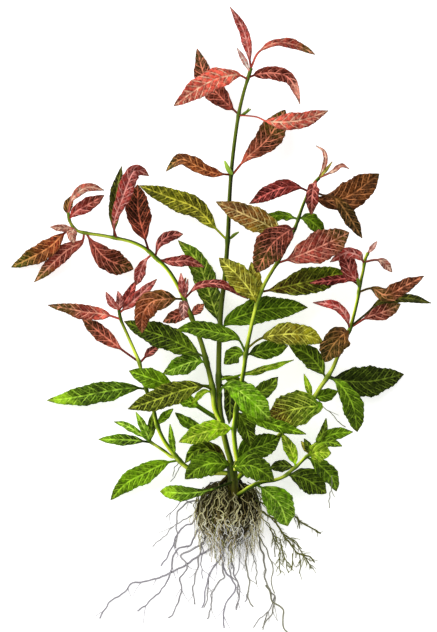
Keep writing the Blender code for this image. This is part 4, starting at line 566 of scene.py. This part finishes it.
def half_width_at(name, shares, petiole, half_width, widest):
    """Half a leaf's width along it: a thin petiole, then a lance-shaped blade. Also shares of the blade."""
    t = np.clip((shares - petiole) / (1 - petiole), 0, 1)
    bend = math.log(0.5) / math.log(widest)
    blade = half_width * np.sin(math.pi * t ** bend) ** OUTLINE_POWER
    stalk = blend(PETIOLE_HALF_WIDTHS.get(name, PETIOLE_HALF_WIDTH), TIP_HALF_WIDTH, t)
    return (blade ** 3 + stalk ** 3) ** (1 / 3), t


def leaf_relief(rng, width, fold, half, t, across, blade_length, gap):
    """How far each point of a leaf is from its line: sideways, up to its top and up to its bottom.

    Also gives the points' phase, which is a whole number on each side vein.
    """
    a_mm = across * half
    bladed = smoothstep(0, BLADE_START, t)
    slant = rng.uniform(*VEIN_SLANT)
    swing = rng.uniform(0, FULL_TURN, 2)
    phase = (t * blade_length - slant * np.abs(a_mm) - 0.035 * a_mm ** 2) / gap
    phase = phase + 0.12 * np.sign(a_mm) + 0.35
    # Each side vein ends in a blunt tooth, and the margin swings in and out as well as up and down.
    ragged = 0.035 * np.cos(FULL_TURN * phase) + 0.02 * np.sin(5.3 * math.pi * phase + swing[0])
    turns = rng.uniform(*MARGIN_SWINGS)
    margin_wave = np.sin(turns * FULL_TURN * t + np.where(a_mm > 0, swing[0], swing[1]))
    a_mm = a_mm * (1 + (ragged + 0.05 * margin_wave) * bladed * np.abs(across) ** 3)

    # The halves are folded up about a soft midrib, with their edges curled back down.
    size = min(1.0, width / FULL_WIDTH)
    soft = 0.16 * half
    lift = (np.sqrt(a_mm ** 2 + soft ** 2) - soft) * math.sin(fold)
    lift = lift - 0.1 * bladed * np.abs(across) ** 4 * half
    lift = lift + MARGIN_WAVE * size * bladed * margin_wave * np.abs(across) ** 2.5 * (1 - t ** 4)
    quilt = np.abs(np.sin(math.pi * phase)) ** 0.7 - 0.6
    calm = smoothstep(0.3, 1.4, np.abs(a_mm)) * (1 - 0.8 * np.abs(across) ** 8) * bladed
    lift = lift + RELIEF * size * quilt * calm * (1 - t ** 6)

    # A round petiole turns into a thin plate, with the midrib sunk above and raised below.
    rod = PETIOLE_HALF_WIDTH * 0.9 * np.sqrt(np.clip(1 - across ** 2, 0, 1))
    plate = BLADE_HALF_THICKNESS * (1 - np.abs(across) ** 10)
    shell = blend(rod, plate, bladed) + EDGE_HALF_THICKNESS
    rib = RIB_HEIGHT * size * np.exp(-(a_mm / 0.55) ** 2) * bladed * (1 - 0.75 * t)
    groove = GROOVE_DEPTH * size * np.exp(-(a_mm / 0.4) ** 2) * bladed * (1 - 0.6 * t)
    return a_mm, lift + shell - groove, lift - shell - rib, phase


def leaf_colours(rng, look, points, t, across):
    """Each point's ground on the top and on the underside, and its veins' colour."""
    foot, mid, tip, vein, margin = LOOKS[look]
    drift = waves(rng, points, 16) * 0.12
    mixing = np.clip(t + drift, 0, 1)[:, None]
    ground = np.where(mixing < 0.5, blend(foot, mid, smoothstep(0.02, 0.5, mixing)),
                      blend(mid, tip, smoothstep(0.5, 0.86, mixing)))
    ground = blend(ground, margin, (smoothstep(0.72, 1.0, np.abs(across + drift * 0.4)) * 0.6)[:, None])
    ground = blend(ground, DRY_TIP, 0.6 * smoothstep(DRY_FROM, 1.0, t)[:, None])
    ground = ground * (1 + 0.16 * waves(rng, points, 14) + 0.1 * waves(rng, points, 5))[:, None]
    vein = np.array(vein) * 0.96 + ground * 0.5
    return ground, blend(ground, UNDERSIDE_HAZE, 0.2), vein / np.maximum(1, vein[:, 1:2] / 252)


def leaf_piece(number, name, values):
    """A leaf with a real thickness: a petiole, a folded and quilted blade, a rib below and a wavy margin."""
    finish, look, (width, petiole, foot_turn, tip_turn, fold, widest), route = values
    rng = np.random.default_rng(LEAF_SEED + number)
    dense, lengths = dense_route(route)
    rows = int(np.clip(lengths[-1] / ROW_STEP, 26, 96))
    columns = 2 * int(np.clip(width / COLUMN_STEP, 4, 11)) + 1
    shares = np.linspace(0, 1, rows)
    shares = shares + 0.02 * np.sin(FULL_TURN * shares)
    places, ways = sample(dense, lengths, shares)
    level = unit(np.cross(ways, WORLD_UP))
    up = np.cross(level, ways)
    turn = np.radians(blend(foot_turn, tip_turn, shares))[:, None]
    side = level * np.cos(turn) + up * np.sin(turn)
    face = up * np.cos(turn) - level * np.sin(turn)

    half, t = half_width_at(name, shares, petiole, width / 2, widest)
    half, t = half[:, None], t[:, None]
    blade_length = lengths[-1] * (1 - petiole)
    gap = blade_length / (int(np.clip(round(blade_length / VEIN_GAP), 5, 10)) + 0.5)
    spread = np.linspace(-1, 1, columns)
    across = (np.sign(spread) * np.abs(spread) ** 1.2)[None, :]
    fold = math.radians(fold)
    a_mm, top, bottom, phase = leaf_relief(rng, width, fold, half, t, across, blade_length, gap)
    middle = places[:, None, :] + (a_mm * math.cos(fold))[:, :, None] * side[:, None, :]
    top, bottom = ((middle + height[:, :, None] * face[:, None, :]).reshape(-1, 3)
                   for height in (top, bottom))

    t_all, across_all = np.repeat(t, columns), np.tile(across[0], rows)
    ground, under, vein = leaf_colours(rng, look, top, t_all, across_all)
    count = rows * columns
    place = np.stack([t_all * blade_length, a_mm.ravel(), np.full(count, number * 7.0)], axis=1)
    strength = smoothstep(0, BLADE_START, t) * (1 - 0.45 * np.abs(across) ** 5)
    strength = strength * (1 - 0.7 * smoothstep(DRY_FROM, 1.0, t))
    veins = np.stack([phase.ravel(), np.full(count, gap), strength.ravel()], axis=1)

    top_faces = grid_faces(rows, columns, False)
    faces = top_faces + [tuple(count + corner for corner in face_[::-1]) for face_ in top_faces]
    for low in range(0, count - columns, columns):
        high = low + columns
        faces.append((low, high, count + high, count + low))
        low_end, high_end = high - 1, high + columns - 1
        faces.append((high_end, low_end, count + low_end, count + high_end))
    for column in range(columns - 1):
        faces.append((column + 1, column, count + column, count + column + 1))
        end = count - columns + column
        faces.append((end, end + 1, count + end + 1, count + end))
    piece = Piece()
    piece.add(np.vstack([top, bottom]), faces, ground=np.vstack([ground, under]), vein=np.tile(vein, (2, 1)),
              place=np.tile(place, (2, 1)), veins=np.tile(veins, (2, 1)))
    piece.finish(name + "_blade", leaf_material, finish, (name,) if name in nodes else ())


def stem_piece(number, name):
    """A stem with swollen, banded joints, a painted highlight along its lit side, painted shade on its far
    side and darker stretches.
    """
    foot_radius, tip_radius, route = STEMS[name]
    route = [HIDDEN_FEET[name]] + route
    dense, lengths = dense_route(route)
    joints = []
    for _, carrier, values in LEAVES:
        if carrier == name:
            nearest = np.argmin(np.linalg.norm(dense - np.array(values[-1][0]), axis=1))
            joints.append(lengths[nearest] / lengths[-1])
    start = np.random.default_rng(STEM_SEED + number).uniform(0, FULL_TURN)
    steps = np.linspace(0, 1, len(STEM_SHADES[name]))

    def swelling(shares):
        from_joint = [(shares - joint) * lengths[-1] / JOINT_REACH for joint in joints]
        return np.exp(-np.array(from_joint) ** 2).max(axis=0)

    def radius_at(shares):
        return blend(foot_radius, tip_radius, shares) * (0.98 + 0.26 * swelling(shares))

    def ground(share, angle):
        # Painted light: a pale streak painted along the lit side and painted shade on the far side.
        lit = (0.5 + 0.5 * np.cos(angle - PAINTED_LIT_SIDE + 0.5 * np.sin(9 * share + start)))[:, None]
        shade = np.interp(share, steps, STEM_SHADES[name])[:, None]
        # rib is the strength of the painted highlight, weaker in the darker stretches.
        rib = smoothstep(0.5, 0.85, lit) * smoothstep(0.3, 0.9, shade)
        skin = blend(STEM_PAINTED_SHADE, STEM_SKIN, smoothstep(0.2, 0.5, lit))
        skin = skin + (np.array(STEM_PAINTED_HIGHLIGHT) - STEM_SKIN) * rib
        return blend(skin * shade, JOINT_BAND, 0.5 * swelling(share)[:, None])

    piece = Piece()
    add_tube(piece, route, radius_at, ground, step=0.7, sides=16, offset=number * 31.0, grooves=0.05)
    piece.finish(name + "_bark", stem_material, "stem", (name,))


def strand_ground(tone, tip_tone):
    """Colours along a root, from one tone to another, with faint streaks."""
    def colours(share, angle):
        return blend(tone, tip_tone, share[:, None]) * (1 + 0.08 * np.sin(9 * share + 2 * angle))[:, None]
    return colours


def meander(rng, size, length_scale):
    """A sideways wander that starts and stays gentle, for a fine root."""
    ways = rng.normal(size=(3, 3))
    starts = rng.uniform(0, FULL_TURN, 3)

    def wander(shares, length):
        total = np.zeros((len(shares), 3))
        for way, start, finer in zip(ways, starts, (1, 1.9, 3.3)):
            swing = np.sin(shares * length / length_scale * FULL_TURN * finer + start) - math.sin(start)
            total += swing[:, None] * way / finer
        return total * size * np.minimum(1, shares * 4)[:, None] * np.array([1, 1, 0.35])
    return wander


def add_rootlets(piece, rng, route, wander, per_mm, reaches, tone):
    """Short side roots that branch off a root and lie down on the table."""
    dense, lengths = dense_route(route)
    for _ in range(int(lengths[-1] * per_mm)):
        share = rng.uniform(0.25, 0.97)
        places, ways = sample(dense, lengths, [share])
        start = places[0] + wander(np.array([share]), lengths[-1])[0]
        turn = rng.choice([-1, 1]) * rng.uniform(0.5, 1.1)
        way = np.array([ways[0][0] * math.cos(turn) - ways[0][1] * math.sin(turn),
                        ways[0][0] * math.sin(turn) + ways[0][1] * math.cos(turn), 0])
        way = unit(unit(way) + np.array([0, -0.5, 0]))
        reach = rng.uniform(*reaches)
        end = start + way * reach
        bend = start + way * reach * 0.5 + rng.normal(size=3) * np.array([0.6, 0.6, 0.1])
        rootlet = [start, (bend[0], bend[1], max(0.4, start[2] * 0.6)), (end[0], end[1], 0.3)]
        add_tube(piece, rootlet, lambda shares: 0.2 - 0.08 * shares, strand_ground(tone, tone * 1.05),
                 step=0.9, sides=5, offset=400.0)


def free_roots():
    """The long roots, the finer ones and the rootlets that branch from both, as one piece."""
    rng = np.random.default_rng(ROOT_SEED)
    piece = Piece()
    for number, (foot_radius, tip_radius, route) in enumerate(ROOTS + FINE_ROOTS):
        def radius_at(shares, foot=foot_radius * 0.86, tip=max(0.25, tip_radius * 0.9)):
            return blend(foot, tip, shares ** 0.7) * (1 + 0.06 * np.sin(40 * shares))
        end_x, end_y, _ = route[-1]
        mossy = end_x > MOSSY_FROM_X and -40 < end_y < -10
        tone = blend(GREY_ROOT, LILAC_ROOT, rng.uniform(0, 1))
        tone = blend(tone, MOSSY_ROOT, 0.4 * smoothstep(0, MOSSY_FROM_X, end_x))
        if mossy:
            tone = np.array(MOSSY_ROOT) * rng.uniform(0.85, 1.15)
        foot_tone = tone * (1.0 if mossy else 0.88)
        wander = meander(rng, size=0.34, length_scale=15.0)
        add_tube(piece, route, radius_at, strand_ground(foot_tone, tone), step=0.8, sides=6,
                 offset=300.0 + number, wobble=wander)
        per_mm, reaches = MOSSY_ROOTLETS if mossy else CLEAN_ROOTLETS
        add_rootlets(piece, rng, route, wander, per_mm, reaches, tone)
    piece.finish("free_roots", root_material, "root")


def on_ball(polar, swirl, depth):
    """Points near the ball's surface: polar runs from its top at the crown to its far end."""
    boxy = 1 + 0.1 * np.sin(2 * polar) ** 2 * (polar < math.pi / 2)
    girth = np.sin(polar) * (1 - 0.22 * smoothstep(1.7, 2.7, polar))
    on_unit_ball = np.stack([girth * np.cos(swirl), np.cos(polar), girth * np.sin(swirl)], axis=1)
    return np.array(BALL_MIDDLE) + on_unit_ball * BALL_HALF_SIZE * (depth * boxy)[:, None]


def strand_route(rng, layer, level, firsts, span, flare):
    """Where one strand of the mat runs, and how clean it is: 0 near the crown, 1 at the far end."""
    around = rng.uniform(0, FULL_TURN) if layer == INNER_LAYER else rng.uniform(-0.25, math.pi + 0.25)
    if layer not in (INNER_LAYER, OUTER_LAYER):
        around = around + 0.22 * math.sin(2 * around)
    first = math.acos(rng.uniform(*firsts))
    last = min(2.95, first + rng.uniform(*span))
    drift = rng.normal(0, 0.5) * (last - first) * 0.45
    steps = np.linspace(0, 1, 7)
    polar = first + (last - first) * steps
    swirl = around + drift * steps + np.cumsum(rng.normal(0, 0.07, 7))
    depth = level + np.cumsum(rng.normal(0, 0.015, 7)) + rng.uniform(*flare) * steps ** 2
    route = [tuple(point) for point in on_ball(polar, swirl, depth)]
    if layer == INNER_LAYER or (layer == 1 and first < 0.9):
        route.insert(0, (0.6 + rng.normal(0, 1.2), rng.uniform(4, 13), 20 + rng.normal(0, 1.0)))
    if layer == OUTER_LAYER:
        x, y, z = route[-1]
        fall = rng.uniform(4, 13) * (0.95 + 0.25 * smoothstep(-9, 9, x))
        route.append((x * 1.03 + rng.normal(0, 0.8), y - fall * 0.5, z * 0.6))
        route.append((x * 1.04 + rng.normal(0, 1.4), y - fall, z * 0.25))
    return [(x, y, max(0.4, z)) for x, y, z in route], smoothstep(1.0, 2.4, polar.mean())


def matted_roots():
    """Tangled strands in layers: long ones from the crown round the ball, then shorter and paler ones, the
    inner layers painted darker as shade and the outer ones lighter as painted highlight.
    """
    rng = np.random.default_rng(MAT_SEED)
    for layer, (count, level, firsts, span, flare, radii, shade, tone_shares) in enumerate(ROOT_LAYERS):
        piece = Piece()
        for _ in range(count):
            route, clean = strand_route(rng, layer, level, firsts, span, flare)
            radius = rng.uniform(*radii)
            tone = ROOT_TONES[rng.choice(len(ROOT_TONES), p=tone_shares)]
            # The layer's shade is painted light: darker inner layers as painted shade, lighter outer ones as
            # painted highlight.
            tone = blend(tone, ROOT_TONES[1], 0.2 * clean) * rng.uniform(0.88, 1.1) * shade
            tone = tone * (0.82 + 0.6 * clean) * np.array([1, 1, 0.72 + 0.24 * clean])

            def radius_at(shares, radius=radius):
                return radius * (1.1 - 0.6 * shares) * (1 + 0.14 * np.sin(26 * shares))
            add_tube(piece, route, radius_at, strand_ground(tone * (0.6 + 0.2 * clean), tone), step=1.0,
                     sides=5, offset=rng.uniform(0, 200), wobble=meander(rng, size=0.3, length_scale=9.0))
        piece.finish(f"matted_roots_{layer + 1}", root_material, "root")


def ball_core():
    """The dark, soil-stained inside of the ball."""
    rng = np.random.default_rng(CORE_SEED)
    rows, columns = 40, 56
    polar = np.linspace(0.02, math.pi - 0.02, rows)[:, None]
    swirl = np.linspace(0, FULL_TURN, columns, endpoint=False)[None, :]
    unit_ball = np.stack([np.sin(polar) * np.cos(swirl), np.cos(polar) * np.ones_like(swirl),
                          np.sin(polar) * np.sin(swirl)], axis=2).reshape(-1, 3)
    bumps = 0.8 + 0.05 * waves(rng, unit_ball * 16, 7) + 0.03 * waves(rng, unit_ball * 16, 2.5)
    bumps = bumps * (1 - 0.25 * smoothstep(0.1, 0.9, -unit_ball[:, 1]))
    points = np.array(BALL_MIDDLE) + unit_ball * BALL_HALF_SIZE * bumps[:, None]
    points[:, 2] = np.maximum(points[:, 2], 0.3)
    points = np.vstack([points, points[:columns].mean(0), points[-columns:].mean(0)])
    faces = grid_faces(rows, columns, True)
    top, bottom = rows * columns, rows * columns + 1
    for column in range(columns):
        following = (column + 1) % columns
        faces.append((top, following, column))
        faces.append((bottom, (rows - 1) * columns + column, (rows - 1) * columns + following))
    piece = Piece()
    shade = (1 + 0.35 * waves(rng, points, 5))[:, None]
    piece.add(points, faces, ground=np.array(CORE_COLOUR) * shade, place=points)
    piece.finish("root_ball_core", soil_material, "root", ("root_ball",))


def crown_piece():
    """The woody foot of the stems, ridged and brown below, young and green above."""
    def radius_at(shares):
        foot, top = CROWN_RADIUS
        ripples = 1 + 0.05 * np.sin(22 * shares) + 0.05 * np.sin(47 * shares + 1)
        return blend(foot * CROWN_FOOT_SHARE, top, shares) * ripples

    def ground(share, angle):
        stripe = (0.5 + 0.5 * np.cos(5 * angle + 3 * share))[:, None]
        young_bark = np.array(YOUNG_BARK) * (0.75 + 0.5 * stripe)
        return blend(blend(OLD_BARK, BARK_RIDGE, stripe), young_bark, smoothstep(0.2, 0.9, share)[:, None])
    piece = Piece()
    add_tube(piece, CROWN_ROUTE, radius_at, ground, step=0.8, sides=24, offset=77.0, grooves=0.08)
    piece.finish("crown_bark", stem_material, "root")


def bud_pieces():
    """Small spindles between a leaf and its stem."""
    for number, (radius, look, route) in enumerate(BUDS, 1):
        _, mid, _, vein, _ = LOOKS[look]

        def radius_at(shares, radius=radius):
            return radius * (0.35 + 0.75 * np.sin(math.pi * np.clip(shares, 0, 1) ** 0.8) ** 0.8)

        def ground(share, angle, mid=mid, vein=vein):
            return blend(mid, vein, 0.35 + 0.4 * share[:, None])
        piece = Piece()
        add_tube(piece, route, radius_at, ground, step=0.35, sides=10, offset=500.0 + number, grooves=0.12)
        piece.finish(f"bud_{number:02d}", stem_material, "stem")


class Nodes:
    """One material, with short calls for its nodes. A value is a number, a colour or a node's output."""

    def __init__(self, name):
        self.material = bpy.data.materials.new(name)
        self.material.use_nodes = True
        self.tree = self.material.node_tree

    def put(self, socket, value):
        if isinstance(value, bpy.types.NodeSocket):
            self.tree.links.new(value, socket)
        else:
            socket.default_value = value

    def shade(self, **values):
        """Sets the shader's sockets, named with underscores for spaces, and gives the material."""
        for key, value in values.items():
            self.put(self.tree.nodes["Principled BSDF"].inputs[key.replace("_", " ")], value)
        return self.material

    def node(self, kind, output, inputs, **settings):
        """A new node's output, or all of its outputs when none is named."""
        node = self.tree.nodes.new("ShaderNode" + kind)
        for key, value in settings.items():
            setattr(node, key, value)
        for key, value in inputs.items():
            self.put(node.inputs[key], value)
        return node.outputs if output is None else node.outputs[output]

    def attribute(self, name, output="Vector"):
        return self.node("Attribute", output, {}, attribute_name=name)

    def split(self, vector):
        return self.node("SeparateXYZ", None, {0: vector})

    def math(self, operation, *values):
        return self.node("Math", 0, dict(enumerate(values)), operation=operation)

    def times(self, first, *others):
        for other in others:
            first = self.math("MULTIPLY", first, other)
        return first

    def ramp(self, value, low, high, out_low=0.0, out_high=1.0):
        """A smooth step from one value to another, as the given one goes from low to high."""
        inputs = {"Value": value, "From Min": low, "From Max": high, "To Min": out_low, "To Max": out_high}
        return self.node("MapRange", "Result", inputs, interpolation_type="SMOOTHSTEP")

    def noise(self, vector, scale, detail=2.0):
        return self.node("TexNoise", "Fac", {"Vector": vector, "Scale": scale, "Detail": detail})

    def cells(self, vector, scale, feature="DISTANCE_TO_EDGE"):
        return self.node("TexVoronoi", "Distance", {"Vector": vector, "Scale": scale}, feature=feature)

    def ground(self, *factors):
        """The ground colour made lighter or darker by some numbers."""
        inputs = {0: self.attribute("ground", "Color"), "Scale": self.times(*factors)}
        return self.node("VectorMath", 0, inputs, operation="SCALE")

    def bump(self, height, distance, strength):
        return self.node("Bump", "Normal", {"Height": height, "Distance": distance, "Strength": strength})


def make_leaf_material():
    """Pinnate veins from the leaf's own vein count, a fine net between them, and a mottled ground with
    painted shade beside the side veins.
    """
    n = Nodes("veined_leaf")
    place = n.attribute("place")
    _, across, _ = n.split(place)
    phase, gap, strength = n.split(n.attribute("veins"))
    phase = n.math("ADD", phase, n.times(n.math("SUBTRACT", n.noise(place, 0.5), 0.5), 0.34))

    def from_half(value):
        """Millimetres to where a value is halfway between two whole numbers."""
        return n.times(n.math("ABSOLUTE", n.math("SUBTRACT", n.math("FRACT", value), 0.5)), gap)
    from_vein = from_half(n.math("ADD", phase, 0.5))
    side_veins = n.ramp(from_vein, 0.1, 0.54, 1.0, 0.0)
    midrib = n.ramp(n.math("ABSOLUTE", across), 0.18, 0.54, 1.0, 0.0)
    minor_veins = n.ramp(from_half(phase), 0.04, 0.34, 1.0, 0.0)
    net = n.ramp(n.cells(place, 0.46), 0.02, 0.12, 1.0, 0.0)
    main = n.math("MAXIMUM", n.times(midrib, 0.9), n.times(side_veins, 0.85))
    fine = n.math("MAXIMUM", n.times(minor_veins, 0.16), n.times(net, 0.28))
    patchy = n.ramp(n.noise(place, 0.3, 3.0), 0.36, 0.62, 0.24, 1.05)
    veins = n.times(n.math("MAXIMUM", main, fine), strength, patchy)
    mottle = n.ramp(n.noise(place, 0.5, 4.0), 0.34, 0.66, 0.42, 1.46)
    # Painted shade: the ground is darker beside each side vein, standing in for the shading of the quilted
    # blade.
    painted_vein_shade = n.math("SUBTRACT", 1.0, n.times(n.ramp(from_vein, 0.45, 1.3, 1.0, 0.0), 0.26))
    colours = {"Factor": veins, "A": n.ground(mottle, painted_vein_shade), "B": n.attribute("vein", "Color")}
    height = n.math("SUBTRACT", n.times(n.cells(place, 0.6), 0.8), n.times(veins, 0.5))
    return n.shade(Base_Color=n.node("Mix", "Result", colours, data_type="RGBA"),
                   Roughness=n.ramp(n.noise(place, 1.3), 0.3, 0.7, 0.4, 0.56),
                   Normal=n.bump(height, 0.00026, 0.85), Specular_IOR_Level=0.05)


def make_stem_material():
    """Lengthwise streaks and small dark specks on a smooth, slightly glossy skin."""
    n = Nodes("stem_skin")
    place = n.attribute("place")
    along, x, y = n.split(place)
    drawn_out = n.node("CombineXYZ", 0, {0: n.times(along, 0.16), 1: x, 2: y})
    streaks = n.ramp(n.noise(drawn_out, 1.1, 3.0), 0.3, 0.7, 0.78, 1.18)
    specks = n.ramp(n.cells(place, 1.1, "F1"), 0.1, 0.22, 0.72, 1.0)
    return n.shade(Base_Color=n.ground(streaks, specks),
                   Roughness=n.ramp(n.noise(place, 0.8), 0.3, 0.7, 0.3, 0.46),
                   Normal=n.bump(n.noise(drawn_out, 1.6, 3.0), 0.00015, 0.7), Specular_IOR_Level=0.1)


def make_root_material(name, light, dark, scale):
    """Fibrous strands with stained stretches, or the stained mat below them."""
    n = Nodes(name)
    place = n.attribute("place")
    stains = n.ramp(n.noise(place, scale, 3.0), 0.32, 0.68, dark, light)
    grains = n.ramp(n.noise(place, scale * 5, 3.0), 0.3, 0.7, 0.84, 1.12)
    return n.shade(Base_Color=n.ground(stains, grains),
                   Roughness=n.ramp(n.noise(place, scale * 2), 0.3, 0.7, 0.62, 0.86),
                   Normal=n.bump(n.noise(place, scale * 4, 4.0), 0.0002, 0.8), Specular_IOR_Level=0.12)


def floor_and_light():
    """A white table that glows a little, a white sky and one large lamp."""
    scene = bpy.context.scene
    mesh = bpy.data.meshes.new("table_top")
    reach = FLOOR_REACH
    mesh.from_pydata([(-reach, -reach, 0), (reach, -reach, 0), (reach, reach, 0), (-reach, reach, 0)], [],
                     [(0, 1, 2, 3)])
    mesh.materials.append(Nodes("white_table").shade(Base_Color=FLOOR_COLOUR, Roughness=FLOOR_ROUGHNESS,
                                                     Emission_Color=WHITE, Emission_Strength=FLOOR_GLOW))
    floor = bpy.data.objects.new("table_top", mesh)
    scene.collection.objects.link(floor)

    world = bpy.data.worlds.new("studio")
    world.use_nodes = True
    sky = world.node_tree.nodes["Background"].inputs
    sky["Color"].default_value = WHITE
    sky["Strength"].default_value = WORLD_LIGHT
    scene.world = world
    lamp = bpy.data.lights.new("softbox", "AREA")
    lamp.shape = "DISK"
    lamp.size = LAMP_SIZE
    lamp.energy = LAMP_POWER
    softbox = bpy.data.objects.new("softbox", lamp)
    softbox.location = LAMP_PLACE
    softbox.rotation_euler = (-softbox.location).to_track_quat("-Z", "Y").to_euler()
    scene.collection.objects.link(softbox)


def make_camera():
    """Straight above, from far away, with the image's height along Y."""
    data = bpy.data.cameras.new("camera")
    data.sensor_width = SENSOR_WIDTH
    data.sensor_fit = "AUTO"
    data.lens = SENSOR_WIDTH * CAMERA_DISTANCE / (VIEW_HEIGHT * MM)
    data.clip_end = CAMERA_REACH
    camera = bpy.data.objects.new("camera", data)
    camera.location = (VIEW_MIDDLE[0] * MM, VIEW_MIDDLE[1] * MM, VIEW_LEVEL * MM + CAMERA_DISTANCE)
    bpy.context.scene.collection.objects.link(camera)
    bpy.context.scene.camera = camera


bpy.context.scene.view_settings.view_transform = "Standard"
bpy.context.scene.view_settings.look = "None"
make_camera()
floor_and_light()
leaf_material = make_leaf_material()
stem_material = make_stem_material()
root_material = make_root_material("root_fibre", 1.12, 0.72, 0.5)
soil_material = make_root_material("root_mat", 1.3, 0.6, 0.25)

for number, stem_name in enumerate(STEMS):
    stem_piece(number, stem_name)
for number, (leaf_name, _, leaf_values) in enumerate(LEAVES):
    leaf_piece(number, leaf_name, leaf_values)
ball_core()
crown_piece()
matted_roots()
free_roots()
bud_pieces()
